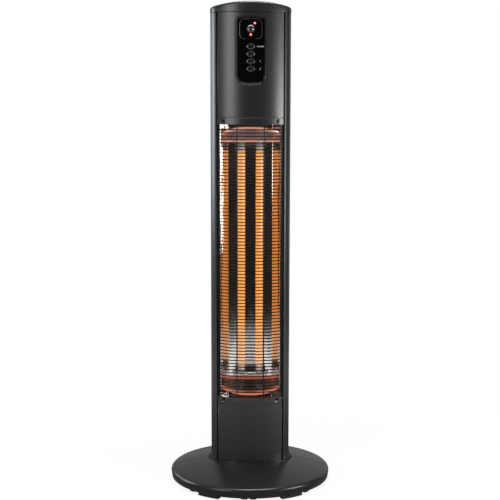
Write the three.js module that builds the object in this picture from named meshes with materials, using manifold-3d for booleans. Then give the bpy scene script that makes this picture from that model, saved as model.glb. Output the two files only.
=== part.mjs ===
// Infrared patio heater tower: an oval column on a round weighted base, with two quartz
// lamps in a mirror trough behind a wire guard and a control panel in the head.
// Millimetres, +Z up, front towards -Y, origin on the floor under the column's axis.
import * as THREE from "three";
import { mergeVertices } from "three/addons/utils/BufferGeometryUtils.js";
import Module from "manifold-3d";

const wasm = await Module();
wasm.setup();

// ---------------------------------------------------------------- driving dimensions
const TOTAL_HEIGHT = 1157;
const FIT = 0.3; // gap between two pieces that touch
const OPEN_CUT = 20; // how far a cutter runs past the piece that it cuts

// column in plan
const PANEL_WIDTH = 156; // front and rear covers
const GROOVE_WIDTH = 3; // shadow gap between a cover and the side profile
const SIDE_WIDTH = 14.5; // side profile, seen from the front
const COLUMN_FRONT = 57; // front face ahead of the column's axis
const COLUMN_REAR = 52; // rear face behind it
const FRONT_RADIUS = 148;
const REAR_RADIUS = 190;
const FRONT_SHOULDER = 29; // depth in which the side profile turns to the widest plane
const REAR_SHOULDER = 24;
const SIDE_SKIN = 2.2;
const COVER_SKIN = 2;
const COVER_RETURN = 4; // depth of a cover's folded side edge
const FLANGE_THICKNESS = 2; // side profile's flange behind the cover edges
const FLANGE_REACH = 6;
const FOOT_FLARE = 5; // how far the side profile spreads at its foot
const FLARE_HEIGHT = 28;

// column in height
const CAP_HEIGHT = 24;
const CAP_CROWN = 12; // rise of the cap's top from its corners to its middle
const CAP_OVERHANG = 0.7;
const CAP_EDGE_RADIUS = 5;
const CAP_WALL = 2.5;
const CAP_PLUG_DEPTH = 8;
const HEAD_HEIGHT = 244.5;
const LOWER_PANEL_TOP = 197; // above the floor
const STRIP_HEIGHT = 17;
const STRIP_SKIN = 3;
const COVER_SEAM = 0.6;

// base
const BASE_WIDTH = 390;
const BASE_DEPTH = 368.5; // the base is a little less deep than wide
const BASE_DOME_RADIUS = 625;
const BASE_EDGE_RADIUS = 9;
const BASE_SIDE_HEIGHT = 14;
const SKIRT_TAPER = 2;
const SKIRT_CLEARANCE = 8; // skirt above the floor
const BASE_WALL = 3;
const BASE_SEAM = 0.5; // between the front and rear halves
const FOOT_GAP = 0.8; // between the base and the column's foot
const BOTTOM_PLATE = 2.5;
const PLATE_GAP = 1; // round the bottom plate
const BOSS_DIAMETER = 9;
const BOSS_ANGLES = [-62, 0, 62]; // degrees from the front, and again from the rear
const WEIGHT_DIAMETER = 320;
const WEIGHT_BORE = 50;
const WEIGHT_THICKNESS = 9.4;
const FOOT_ANGLE = 32; // degrees from the front or rear centre line
const FOOT_SPAN = 17; // degrees
const FOOT_WIDTH = 18;
const PEG_DIAMETER = 8;

// column socket and its bolts
const SOCKET_PLATE = 5;
const SOCKET_MARGIN = 8;
const SOCKET_WALL = 2.5;
const SOCKET_RISE = 36;
const BOLT_DIAMETER = 7.4;
const BOLT_HEAD_DIAMETER = 13;
const BOLT_HEAD_HEIGHT = 5;
const BOLT_SPREAD_X = 104;
const BOLT_SPREAD_Y = 40;

// wire guard and its screws
const WIRE_DIAMETER = 2.2;
const WIRE_PITCH = 7.8;
const GUARD_DEPTH = 3.3; // wires behind the column's front face
const GUARD_GAP = 0.6; // between the guard's side rail and the side profile's flange
const GUARD_SEAT = 1.6; // between the wires and the bulkhead flange behind them
const STAY_SPACING = 64.4; // between the two upright wires
const SCREW_SPACING = 128.6;
const LOWER_SCREW_RISE = 2.8; // lower screws above their strip's middle
const SCREW_DIAMETER = 3.6;
const SCREW_HEAD_DIAMETER = 7.4;
const SCREW_HEAD_HEIGHT = 1.6;
const SCREW_LENGTH = 11;

// reflector, lamps and bulkheads
const SHEET = 1; // reflector sheet
const REFLECTOR_BACK_WIDTH = 110;
const REFLECTOR_BACK = 4; // mirror's back wall behind the column's axis
const REFLECTOR_END_DROP = 42; // how far the end walls slope in height, front to back
const BULKHEAD_SHEET = 1.5;
const BULKHEAD_FLANGE = 15;
const BULKHEAD_GAP = 1.3; // between the bulkhead's flange and the guard's side rails
const LAMP_SPACING = 43.3;
const LAMP_SETBACK = -15; // lamp axes, from the column's axis
const LAMP_MARGIN = 44.75; // lamp ends inwards of the opening's ends, before the rise
const LAMP_RISE = 6; // lamps' middle above the opening's middle
const TUBE_DIAMETER = 18;
const TUBE_WALL = 1.2;
const FILAMENT_DIAMETER = 6;
const CERAMIC_DIAMETER = 17;
const CERAMIC_LENGTH = 24;
const SPIGOT_LENGTH = 4;
const STUD_DIAMETER = 3;
const STUD_LENGTH = 5;
const BRACKET_WIDTH = 74;
const BRACKET_SHEET = 1.2;
const BRACKET_LIP = 10;
const BRACKET_INSET = 8; // bracket shelf inwards of the lamp's end

// control panel
const CONTROL_WIDTH = 72.6;
const CONTROL_HEIGHT = 158;
const CONTROL_TOP_DROP = 10; // below the cap's joint
const CONTROL_ARCH = 4;
const CONTROL_TOP_RADIUS = 9;
const CONTROL_BOTTOM_RADIUS = 19;
const BEZEL_WALL = 3;
const BEZEL_LEDGE = 3;
const BEZEL_DEPTH = 0.4; // bezel's rim behind the column's front face
const BEZEL_FLANGE = 4;
const FASCIA_DEPTH = 1.2;
const FASCIA_BACK = 8;
const WINDOW_WIDTH = 53;
const WINDOW_HEIGHT = 47;
const WINDOW_RADIUS = 12;
const WINDOW_DROP = 6.5; // below the panel's top
const WINDOW_DEPTH = 0.7;
const LENS_DIAMETER = 18;
const LENS_DOME = 3;
const LED_DIAMETER = 4.4;
const POWER_LED_OFFSET = 9.3;
const POWER_LED_RISE = 13;
const HEAT_LED_DROP = 13;
const BUTTON_COUNT = 4;
const BUTTON_PITCH = 17;
const BUTTON_WIDTH = 19.4;
const BUTTON_HEIGHT = 13.4;
const BUTTON_PROUD = 0.8;
const BUTTON_FLANGE = 1.2; // how far the flange reaches past the button's edge
const BUTTON_TRAVEL = 1;
const BUTTON_FLANGE_THICKNESS = 1;
const FIRST_BUTTON_DROP = 17; // below the receiver window
const SWITCH_DIAMETER = 6;
const SWITCH_HEIGHT = 4;
const BOARD_DEPTH = 17; // control board behind the column's front face
const BOARD_THICKNESS = 1.6;
const BOARD_WIDTH = 68;
const BOARD_MARGIN = 5;
const POST_DIAMETER = 4.5;
const POST_SPACING = 62;

// electrical parts behind the reflector
const POWER_BOARD_WIDTH = 100;
const POWER_BOARD_HEIGHT = 130;
const POWER_BOARD_SETBACK = 24; // behind the column's axis
const POWER_BOARD_RISE = 36; // above the upper bulkhead
const POWER_POST_SPACING = 76;
const POWER_POST_DIAMETER = 7;
const RELAY_WIDTH = 20;
const RELAY_HEIGHT = 28;
const RELAY_DEPTH = 15;
const HARNESS_DIAMETER = 8;
const HARNESS_OFFSET = 30;
const TERMINAL_WIDTH = 72;
const TERMINAL_DEPTH = 20;
const TERMINAL_HEIGHT = 22;
const TERMINAL_WAYS = 5;
const TILT_SWITCH_WIDTH = 26;
const TILT_SWITCH_DEPTH = 18;
const TILT_SWITCH_HEIGHT = 20;
const GLAND_RISE = 66; // above the column's bottom
const GLAND_FLANGE_DIAMETER = 24;
const GLAND_THREAD_DIAMETER = 16;
const GLAND_BORE = 7.2;
const GLAND_FLANGE_THICKNESS = 5;
const GLAND_DOME = 9;
const GLAND_DOME_DIAMETER = 17;
const GLAND_TAPER = 1.8;
const GLAND_THREAD_LENGTH = 7;
const GLAND_NUT_DIAMETER = 22;
const GLAND_NUT_THICKNESS = 4;
const LEAD_DIAMETER = 6.6;
const VENT_WIDTH = 50;
const VENT_HEIGHT = 4;
const VENT_PITCH = 10;
const VENTS_PER_GROUP = 5;

// facets
const ROUND_STEPS = 48; // base circle
const HIDDEN_STEPS = 32; // weight and bottom plate
const SMALL_STEPS = 12; // multiples of 4 keep a round piece in step with its hole
const LAMP_STEPS = 16;
const ARC_STEPS = 10; // front or rear arc, side to side

// ---------------------------------------------------------------- levels and outlines
const { degToRad, clamp } = THREE.MathUtils;
const panelHalf = PANEL_WIDTH / 2;
const grooveEdge = panelHalf + GROOVE_WIDTH;
const columnHalf = grooveEdge + SIDE_WIDTH;
const flangeFront = COVER_RETURN + FIT;
const flangeBack = flangeFront + FLANGE_THICKNESS;
const flangeTip = panelHalf - FLANGE_REACH + GROOVE_WIDTH;
const innerDepth = flangeBack + FIT; // clear of the side profile's flanges
const frontCentre = FRONT_RADIUS - COLUMN_FRONT;
const rearCentre = COLUMN_REAR - REAR_RADIUS;

const capBottom = TOTAL_HEIGHT - CAP_HEIGHT;
const headBottom = capBottom - HEAD_HEIGHT;
const openingTop = headBottom - STRIP_HEIGHT;
const lowerStripBottom = LOWER_PANEL_TOP;
const openingBottom = lowerStripBottom + STRIP_HEIGHT;
const upperScrewLevel = openingTop + STRIP_HEIGHT / 2;
const lowerScrewLevel = openingBottom - STRIP_HEIGHT / 2 + LOWER_SCREW_RISE;

const baseRadius = BASE_WIDTH / 2;
const depthShare = BASE_DEPTH / BASE_WIDTH;
const skirtOuter = baseRadius - SKIRT_TAPER;
const skirtInner = skirtOuter - BASE_WALL;
const plateTop = SKIRT_CLEARANCE + BOTTOM_PLATE;
const weightBottom = plateTop + FIT;
const weightTop = weightBottom + WEIGHT_THICKNESS;
const socketBottom = weightTop + FIT;
const socketTop = socketBottom + SOCKET_PLATE;
const columnBottom = socketTop + FIT;
const edgeLevel = SKIRT_CLEARANCE + BASE_SIDE_HEIGHT;
const edgeCentre = baseRadius - BASE_EDGE_RADIUS;
const domeCentre = edgeLevel - Math.sqrt((BASE_DOME_RADIUS - BASE_EDGE_RADIUS) ** 2 - edgeCentre ** 2);
const domeLean = Math.asin(edgeCentre / (BASE_DOME_RADIUS - BASE_EDGE_RADIUS));

// Surface of the front or rear of the column at x, a given depth inside it.
const frontY = (x, depth = 0) => frontCentre - Math.sqrt((FRONT_RADIUS - depth) ** 2 - x * x);
const rearY = (x, depth = 0) => rearCentre + Math.sqrt((REAR_RADIUS - depth) ** 2 - x * x);

// Height of the base's domed skin at a radius, a given depth inside it.
const baseTop = (radius, depth = 0) => domeCentre + Math.sqrt((BASE_DOME_RADIUS - depth) ** 2 - radius ** 2);
const footLevel = baseTop(columnHalf);

// Points round the right-hand half of the column, front centre to rear centre, each with
// the direction that faces outwards there.
function halfOutline() {
  const samples = [];
  const add = (x, y, nx, ny, side) => samples.push({ x, y, nx, ny, side });
  const frontTurn = Math.asin(grooveEdge / FRONT_RADIUS);
  const rearTurn = Math.asin(grooveEdge / REAR_RADIUS);
  const arcSteps = ARC_STEPS / 2;
  for (let i = 0; i < arcSteps; i++) {
    const a = (frontTurn * i) / arcSteps;
    const x = FRONT_RADIUS * Math.sin(a);
    add(x, frontY(x), Math.sin(a), -Math.cos(a), false);
  }
  const frontEdge = new THREE.Vector2(grooveEdge, frontY(grooveEdge));
  const rearEdge = new THREE.Vector2(grooveEdge, rearY(grooveEdge));
  const shoulders = [
    [
      frontEdge,
      new THREE.Vector2(columnHalf, frontEdge.y + SIDE_WIDTH * Math.tan(frontTurn)),
      new THREE.Vector2(columnHalf, frontEdge.y + FRONT_SHOULDER),
    ],
    [
      new THREE.Vector2(columnHalf, rearEdge.y - REAR_SHOULDER),
      new THREE.Vector2(columnHalf, rearEdge.y - SIDE_WIDTH * Math.tan(rearTurn)),
      rearEdge,
    ],
  ];
  const shoulderSteps = 4;
  for (const [from, corner, to] of shoulders) {
    const curve = new THREE.QuadraticBezierCurve(from, corner, to);
    for (let i = 0; i <= shoulderSteps; i++) {
      const p = curve.getPoint(i / shoulderSteps);
      const t = curve.getTangent(i / shoulderSteps);
      add(p.x, p.y, t.y, -t.x, true);
    }
  }
  for (let i = arcSteps - 1; i >= 0; i--) {
    const a = (rearTurn * i) / arcSteps;
    const x = REAR_RADIUS * Math.sin(a);
    add(x, rearY(x), Math.sin(a), Math.cos(a), false);
  }
  return samples;
}
const half = halfOutline();

// The foot's spread moves only the side profile, most at its widest plane.
function spread(x, flare) {
  const share = clamp((Math.abs(x) - grooveEdge) / SIDE_WIDTH, 0, 1);
  return x + Math.sign(x) * flare * share;
}

// The whole column's outline in plan, counter-clockwise, moved outwards by an offset.
function outline(offset, flare = 0) {
  const right = half.map((s) => new THREE.Vector2(s.x + s.nx * offset, s.y + s.ny * offset));
  const left = right.slice(1, -1).reverse();
  return [
    ...right.map((p) => new THREE.Vector2(spread(p.x, flare), p.y)),
    ...left.map((p) => new THREE.Vector2(spread(-p.x, flare), p.y)),
  ];
}

const mirrored = (points) => points.map((p) => new THREE.Vector2(-p.x, p.y)).reverse();

function circle(radius, x = 0, y = 0, steps = SMALL_STEPS) {
  return Array.from({ length: steps }, (_, i) => {
    const a = (2 * Math.PI * i) / steps;
    return new THREE.Vector2(x + radius * Math.cos(a), y + radius * Math.sin(a));
  });
}

function oval(width, height, x, y, steps = LAMP_STEPS) {
  return circle(1, 0, 0, steps).map((p) => new THREE.Vector2(x + (p.x * width) / 2, y + (p.y * height) / 2));
}

function rectangle(x0, x1, y0, y1) {
  return [
    [x0, y0],
    [x1, y0],
    [x1, y1],
    [x0, y1],
  ].map(([x, y]) => new THREE.Vector2(x, y));
}

// Region between two depths behind the front face, out to a half width.
function frontBand(halfWidth, depth0, depth1, steps = ARC_STEPS) {
  const at = (i) => -halfWidth + (2 * halfWidth * i) / steps;
  const near = Array.from({ length: steps + 1 }, (_, i) => new THREE.Vector2(at(i), frontY(at(i), depth0)));
  const far = Array.from({ length: steps + 1 }, (_, i) => new THREE.Vector2(at(i), frontY(at(i), depth1)));
  return [...near, ...far.reverse()];
}

// ---------------------------------------------------------------- solids
function toSolid(geometry) {
  const bare = geometry.clone();
  bare.deleteAttribute("normal");
  bare.deleteAttribute("uv");
  const merged = mergeVertices(bare, 1e-4);
  const triVerts = new Uint32Array(merged.index.array);
  const vertProperties = new Float32Array(merged.attributes.position.array);
  return new wasm.Manifold(new wasm.Mesh({ numProp: 3, vertProperties, triVerts }));
}

function toGeometry(solid) {
  const made = solid.getMesh();
  const geometry = new THREE.BufferGeometry();
  geometry.setAttribute("position", new THREE.BufferAttribute(new Float32Array(made.vertProperties), 3));
  geometry.setIndex(new THREE.BufferAttribute(new Uint32Array(made.triVerts), 1));
  return geometry;
}

const join = (solids) => solids.reduce((all, next) => all.add(next));
const cut = (solid, cutters) => cutters.reduce((left, cutter) => left.subtract(cutter), solid);

function extruded(points, length, holes) {
  const shape = new THREE.Shape(points);
  shape.holes = holes.map((hole) => new THREE.Path(hole));
  return new THREE.ExtrudeGeometry(shape, { depth: length, bevelEnabled: false, steps: 1 });
}

// Plan outline (x, y) raised from z0 to z1.
function upright(points, z0, z1, holes = []) {
  return toSolid(extruded(points, z1 - z0, holes).translate(0, 0, z0));
}

// Front outline (x, z) carried back from y0 to y1.
function backward(points, y0, y1, holes = []) {
  return toSolid(extruded(points, y1 - y0, holes).rotateX(Math.PI / 2).translate(0, y1, 0));
}

// Side outline (y, z) carried across from x0 to x1.
function across(points, x0, x1) {
  const geometry = extruded(points, x1 - x0, []);
  return toSolid(geometry.rotateX(Math.PI / 2).rotateZ(Math.PI / 2).translate(x0, 0, 0));
}

// Profile (radius, z) turned about an upright axis at (x, y).
function turned(profile, steps = SMALL_STEPS, x = 0, y = 0) {
  const points = profile.map(([radius, level]) => new THREE.Vector2(radius, level));
  return toSolid(new THREE.LatheGeometry(points, steps).rotateX(Math.PI / 2).translate(x, y, 0));
}

// Closed skin through equal rings of points, listed outwards or upwards, each ring
// counter-clockwise from above; a pole closes an end, or else a flat lid does.
function skin(rings, firstPole, lastPole) {
  const count = rings[0].length;
  const points = rings.flat();
  const faces = [];
  for (let k = 0; k + 1 < rings.length; k++) {
    for (let i = 0; i < count; i++) {
      const a = k * count + i;
      const b = k * count + ((i + 1) % count);
      faces.push(a, b, b + count, a, b + count, a + count);
    }
  }
  const top = (rings.length - 1) * count;
  if (firstPole) {
    const first = points.push(firstPole) - 1;
    const last = points.push(lastPole) - 1;
    for (let i = 0; i < count; i++) {
      const j = (i + 1) % count;
      faces.push(first, j, i, top + i, top + j, last);
    }
  } else {
    const flat = rings[0].map((p) => new THREE.Vector2(p.x, p.y));
    for (const [a, b, c] of THREE.ShapeUtils.triangulateShape(flat, [])) {
      faces.push(a, c, b, top + a, top + b, top + c);
    }
  }
  const geometry = new THREE.BufferGeometry().setFromPoints(points);
  geometry.setIndex(faces);
  return toSolid(geometry);
}

// Moves a solid that was made about the Z axis so that it points into the column at x.
function radialFront(solid, x, level) {
  const turn = Math.asin(x / FRONT_RADIUS);
  const place = new THREE.Matrix4().makeTranslation(x, frontY(x), level);
  place.multiply(new THREE.Matrix4().makeRotationZ(turn));
  place.multiply(new THREE.Matrix4().makeRotationX(-Math.PI / 2));
  return toSolid(toGeometry(solid).applyMatrix4(place));
}

// ---------------------------------------------------------------- materials
const finish = (color, roughness, metalness) => ({ color, roughness, metalness });
const FINISHES = {
  satinBlack: finish(0x232426, 0.45, 0.25),
  glossBlack: finish(0x0b0b0d, 0.12, 0),
  blackPlastic: finish(0x1c1d1f, 0.55, 0),
  rubber: finish(0x151515, 0.9, 0),
  castIron: finish(0x3a3a3c, 0.75, 0.6),
  zincSteel: finish(0xb4b6b8, 0.38, 0.9),
  blackSteel: finish(0x26272a, 0.5, 0.7),
  mirror: finish(0xe3e4e6, 0.08, 1),
  chromeWire: finish(0xc4c5c8, 0.22, 1),
  quartz: finish(0xf0a040, 0.08, 0),
  glow: finish(0xff8a2a, 0.4, 0),
  ceramic: finish(0xe9e4d8, 0.6, 0),
  smokedWindow: finish(0x18161a, 0.06, 0),
  lensClear: finish(0x5a5a60, 0.05, 0),
  redLed: finish(0xff2233, 0.2, 0),
  amberLed: finish(0xff9a2e, 0.2, 0),
  board: finish(0x1f5a36, 0.5, 0),
  nylon: finish(0xd8d4c4, 0.6, 0),
  greyButton: finish(0x55565a, 0.35, 0.2),
};

const heater = new THREE.Group();
heater.name = "patio_heater_tower";

function addPiece(name, solid, finishName, parent = heater) {
  const material = new THREE.MeshStandardMaterial(FINISHES[finishName]);
  const mesh = new THREE.Mesh(toGeometry(solid), material);
  mesh.geometry.computeVertexNormals();
  mesh.name = name;
  parent.add(mesh);
  return mesh;
}

// ---------------------------------------------------------------- base
function baseShell() {
  const hub = COLUMN_REAR - BASE_WALL;
  const edgeSteps = 3;
  const domeSteps = 3;
  const side = (depth) => {
    const points = [];
    const radius = BASE_EDGE_RADIUS - depth;
    for (let i = 0; i <= edgeSteps; i++) {
      const a = ((Math.PI / 2 - domeLean) * i) / edgeSteps;
      points.push([edgeCentre + radius * Math.cos(a), edgeLevel + radius * Math.sin(a)]);
    }
    const start = points[edgeSteps][0];
    for (let i = 1; i <= domeSteps; i++) {
      const r = start + ((hub - start) * i) / domeSteps;
      points.push([r, baseTop(r, depth)]);
    }
    return points;
  };
  const start = [skirtInner, SKIRT_CLEARANCE];
  const profile = [start, [skirtOuter, SKIRT_CLEARANCE], ...side(0), ...side(BASE_WALL).reverse(), start];
  return turned(profile, ROUND_STEPS).scale([1, depthShare, 1]);
}

function buildBase() {
  const bossCircle = WEIGHT_DIAMETER / 2 + BOSS_DIAMETER;
  const bossTop = (x, y) => {
    const reach = Math.hypot(x, y / depthShare);
    return baseTop(reach + BOSS_DIAMETER / 2, BASE_WALL / 4);
  };
  const hole = upright(outline(FOOT_GAP, FOOT_FLARE), 0, hubCeiling());
  const shell = cut(baseShell(), [hole]);
  const halves = { front: -1, rear: 1 };
  for (const [side, sign] of Object.entries(halves)) {
    const reach = baseRadius + OPEN_CUT;
    const ends = [sign * reach, (sign * BASE_SEAM) / 2];
    const room = rectangle(-reach, reach, Math.min(...ends), Math.max(...ends));
    const bosses = BOSS_ANGLES.map((angle) => {
      const x = bossCircle * Math.sin(degToRad(angle));
      const y = sign * bossCircle * Math.cos(degToRad(angle));
      return upright(circle(BOSS_DIAMETER / 2, x, y, 10), plateTop + FIT, bossTop(x, y));
    });
    const piece = join([shell.intersect(upright(room, 0, hubCeiling())), ...bosses]);
    addPiece(`base_${side}_half`, piece, "satinBlack");
  }
}

// A level above everything in the base.
function hubCeiling() {
  return baseTop(0) + OPEN_CUT;
}

const feet = [
  ["foot_front_left", -FOOT_ANGLE],
  ["foot_front_right", FOOT_ANGLE],
  ["foot_rear_left", FOOT_ANGLE - 180],
  ["foot_rear_right", 180 - FOOT_ANGLE],
];
const footOuter = skirtInner - FIT;
const footMiddle = footOuter - FOOT_WIDTH / 2;

// Point on the floor plan of the oval base, at an angle from the front centre line.
function fromFront(radius, angle) {
  const a = degToRad(angle);
  return new THREE.Vector2(radius * Math.sin(a), -radius * Math.cos(a) * depthShare);
}

function buildBottom() {
  const pegHoles = feet.map(([, angle]) => {
    const p = fromFront(footMiddle, angle);
    return circle(PEG_DIAMETER / 2 + FIT, p.x, p.y);
  });
  const disc = Array.from({ length: HIDDEN_STEPS }, (_, i) =>
    fromFront(skirtInner - PLATE_GAP, (360 * i) / HIDDEN_STEPS),
  );
  addPiece("base_bottom_plate", upright(disc, SKIRT_CLEARANCE, plateTop, pegHoles), "blackPlastic");

  for (const [name, angle] of feet) {
    const steps = 4;
    const at = (i) => angle - FOOT_SPAN / 2 + (FOOT_SPAN * i) / steps;
    const outer = Array.from({ length: steps + 1 }, (_, i) => fromFront(footOuter, at(i)));
    const footInner = footOuter - FOOT_WIDTH;
    const inner = Array.from({ length: steps + 1 }, (_, i) => fromFront(footInner, at(steps - i)));
    const pad = upright([...outer, ...inner], 0, SKIRT_CLEARANCE - FIT);
    const p = fromFront(footMiddle, angle);
    const peg = upright(circle(PEG_DIAMETER / 2, p.x, p.y), SKIRT_CLEARANCE / 2, plateTop);
    addPiece(name, pad.add(peg), "rubber");
  }
}

const bolts = [
  ["socket_bolt_front_left", -1, -1],
  ["socket_bolt_front_right", 1, -1],
  ["socket_bolt_rear_left", -1, 1],
  ["socket_bolt_rear_right", 1, 1],
].map(([name, sx, sy]) => ({ name, x: (sx * BOLT_SPREAD_X) / 2, y: (sy * BOLT_SPREAD_Y) / 2 }));

function buildSocket() {
  const boltHoles = bolts.map(({ x, y }) => circle(BOLT_DIAMETER / 2 + FIT, x, y));
  const ring = circle(WEIGHT_DIAMETER / 2, 0, 0, HIDDEN_STEPS);
  const bore = circle(WEIGHT_BORE / 2, 0, 0, LAMP_STEPS);
  addPiece("base_weight", upright(ring, weightBottom, weightTop, [bore, ...boltHoles]), "castIron");

  const plate = upright(outline(SOCKET_MARGIN, FOOT_FLARE), socketBottom, socketTop, boltHoles);
  const tube = upright(outline(-innerDepth), socketTop - SOCKET_PLATE / 2, socketTop + SOCKET_RISE, [
    outline(-innerDepth - SOCKET_WALL),
  ]);
  addPiece("column_socket", plate.add(tube), "zincSteel");

  const shank = BOLT_DIAMETER / 2;
  const head = BOLT_HEAD_DIAMETER / 2;
  const seat = socketTop + FIT;
  const profile = [
    [0, weightBottom],
    [shank, weightBottom],
    [shank, seat],
    [head, seat],
    [head, seat + BOLT_HEAD_HEIGHT],
    [0, seat + BOLT_HEAD_HEIGHT],
  ];
  for (const { name, x, y } of bolts) {
    addPiece(name, turned(profile, SMALL_STEPS, x, y), "zincSteel");
  }
}

// ---------------------------------------------------------------- column shells
// Section of the right-hand side profile: outer skin with a flange behind each groove.
function sideSection() {
  const outer = half.filter((s) => s.side);
  const clearFront = frontY(grooveEdge, flangeBack);
  const clearRear = rearY(grooveEdge, flangeBack);
  const inner = outer
    .map((s) => new THREE.Vector2(s.x - s.nx * SIDE_SKIN, s.y - s.ny * SIDE_SKIN))
    .filter((p) => p.y > clearFront + FIT && p.y < clearRear - FIT)
    .reverse();
  const at = (surface, x, depth) => new THREE.Vector2(x, surface(x, depth));
  return [
    ...outer.map((s) => new THREE.Vector2(s.x, s.y)),
    at(rearY, grooveEdge, flangeFront),
    at(rearY, flangeTip, flangeFront),
    at(rearY, flangeTip, flangeBack),
    ...inner,
    at(frontY, flangeTip, flangeBack),
    at(frontY, flangeTip, flangeFront),
    at(frontY, grooveEdge, flangeFront),
  ];
}

function buildSides() {
  const section = sideSection();
  const flareSteps = 4;
  const levels = [columnBottom];
  for (let i = 0; i <= flareSteps; i++) {
    levels.push(footLevel + (FLARE_HEIGHT * i) / flareSteps);
  }
  levels.push(capBottom - FIT);
  const flareAt = (z) => FOOT_FLARE * clamp(1 - (z - footLevel) / FLARE_HEIGHT, 0, 1) ** 2;
  for (const [name, points] of [
    ["right_side_profile", section],
    ["left_side_profile", mirrored(section)],
  ]) {
    const rings = levels.map((z) => points.map((p) => new THREE.Vector3(spread(p.x, flareAt(z)), p.y, z)));
    addPiece(name, skin(rings), "satinBlack");
  }
}

// Section of a cover with folded edges; the surface is frontY or rearY.
function coverSection(surface, thickness) {
  const steps = ARC_STEPS;
  const edge = panelHalf - COVER_SKIN;
  const along = (halfWidth, depth) =>
    Array.from({ length: steps + 1 }, (_, i) => {
      const x = -halfWidth + (2 * halfWidth * i) / steps;
      return new THREE.Vector2(x, surface(x, depth));
    });
  const points = [
    ...along(panelHalf, 0),
    new THREE.Vector2(panelHalf, surface(panelHalf, COVER_RETURN)),
    new THREE.Vector2(edge, surface(edge, COVER_RETURN)),
    ...along(edge, thickness).reverse(),
    new THREE.Vector2(-edge, surface(edge, COVER_RETURN)),
    new THREE.Vector2(-panelHalf, surface(panelHalf, COVER_RETURN)),
  ];
  return surface === frontY ? points : points.reverse();
}

function screwCutters(x, level) {
  const seat = SCREW_HEAD_HEIGHT + FIT;
  const hole = upright(circle(SCREW_DIAMETER / 2 + FIT), -OPEN_CUT, OPEN_CUT);
  const sink = upright(circle(SCREW_HEAD_DIAMETER / 2 + FIT), -OPEN_CUT, seat);
  return radialFront(join([hole, sink]), x, level);
}

const screwPlaces = [
  ["guard_screw_upper_left", -1, upperScrewLevel],
  ["guard_screw_upper_right", 1, upperScrewLevel],
  ["guard_screw_lower_left", -1, lowerScrewLevel],
  ["guard_screw_lower_right", 1, lowerScrewLevel],
].map(([name, sign, level]) => ({ name, x: (sign * SCREW_SPACING) / 2, level }));

function buildCovers() {
  const gap = COVER_SEAM / 2;
  const cover = coverSection(frontY, COVER_SKIN);
  const strip = coverSection(frontY, STRIP_SKIN);
  const lower = upright(cover, columnBottom, lowerStripBottom - gap);
  addPiece("lower_front_panel", lower, "satinBlack");

  const head = upright(cover, headBottom + gap, capBottom - FIT);
  const window = backward(controlOutline(0), -COLUMN_FRONT - OPEN_CUT, 0);
  addPiece("upper_front_panel", cut(head, [window]), "satinBlack");

  for (const [name, level] of [
    ["upper_guard_strip", openingTop],
    ["lower_guard_strip", lowerStripBottom],
  ]) {
    const body = upright(strip, level + gap, level + STRIP_HEIGHT - gap);
    const screws = screwPlaces.filter((s) => s.level > level && s.level < level + STRIP_HEIGHT);
    addPiece(name, cut(body, screws.map((s) => screwCutters(s.x, s.level))), "satinBlack");
  }

  const rear = upright(coverSection(rearY, COVER_SKIN), columnBottom, capBottom - FIT);
  const thread = circle(GLAND_THREAD_DIAMETER / 2 + FIT, 0, glandLevel, LAMP_STEPS);
  const glandHole = backward(thread, 0, COLUMN_REAR + OPEN_CUT);
  addPiece("rear_panel", cut(rear, [glandHole, ...ventCutters()]), "satinBlack");
}

// Slots at the back: two groups in the head and one under the lower bulkhead.
function ventCutters() {
  const tall = VENTS_PER_GROUP * VENT_PITCH;
  const starts = [powerBoardBottom, powerBoardBottom + tall + VENT_PITCH, lowerStripBottom - tall];
  return starts.flatMap((start) =>
    Array.from({ length: VENTS_PER_GROUP }, (_, i) => {
      const z = start + i * VENT_PITCH;
      const slot = rectangle(-VENT_WIDTH / 2, VENT_WIDTH / 2, z - VENT_HEIGHT / 2, z + VENT_HEIGHT / 2);
      return backward(slot, 0, COLUMN_REAR + OPEN_CUT);
    }),
  );
}

function buildCap() {
  const outerHalf = columnHalf + CAP_OVERHANG;
  const topAt = (x) => TOTAL_HEIGHT - CAP_CROWN * (x / outerHalf) ** 2;
  const bottom = capBottom;
  const ring = (offset, level, share = 1) =>
    outline(offset).map((p) => {
      const x = p.x * share;
      return new THREE.Vector3(x, p.y * share, level(x));
    });
  const edge = (i, steps) => {
    const a = (Math.PI / 2) * (i / steps);
    const inset = CAP_EDGE_RADIUS * (1 - Math.cos(a));
    const drop = CAP_EDGE_RADIUS * (1 - Math.sin(a));
    return ring(CAP_OVERHANG - inset, (x) => topAt(x) - drop);
  };
  const plugOuter = -innerDepth;
  const plugInner = plugOuter - CAP_WALL;
  const crown = CAP_OVERHANG - CAP_EDGE_RADIUS;
  const under = (x) => topAt(x) - CAP_WALL;
  const rings = [
    ring(plugInner, under, 0.5),
    ring(plugInner, under),
    ring(plugInner, () => bottom - CAP_PLUG_DEPTH),
    ring(plugOuter, () => bottom - CAP_PLUG_DEPTH),
    ring(plugOuter, () => bottom),
    ring(CAP_OVERHANG, () => bottom),
    ...Array.from({ length: 4 }, (_, i) => edge(i, 3)),
    ring(crown, topAt, 0.75),
    ring(crown, topAt, 0.4),
  ];
  const pole = (z) => new THREE.Vector3(0, 0, z);
  addPiece("top_cap", skin(rings, pole(under(0)), pole(topAt(0))), "satinBlack");
}

// ---------------------------------------------------------------- wire guard
const wireCount = Math.round((upperScrewLevel - lowerScrewLevel) / WIRE_PITCH) + 2;
const wirePitch = (upperScrewLevel - lowerScrewLevel) / (wireCount - 2);
const railOuter = flangeTip - GUARD_GAP;
const railInner = railOuter - WIRE_DIAMETER;
const guardBack = GUARD_DEPTH + WIRE_DIAMETER;

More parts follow.
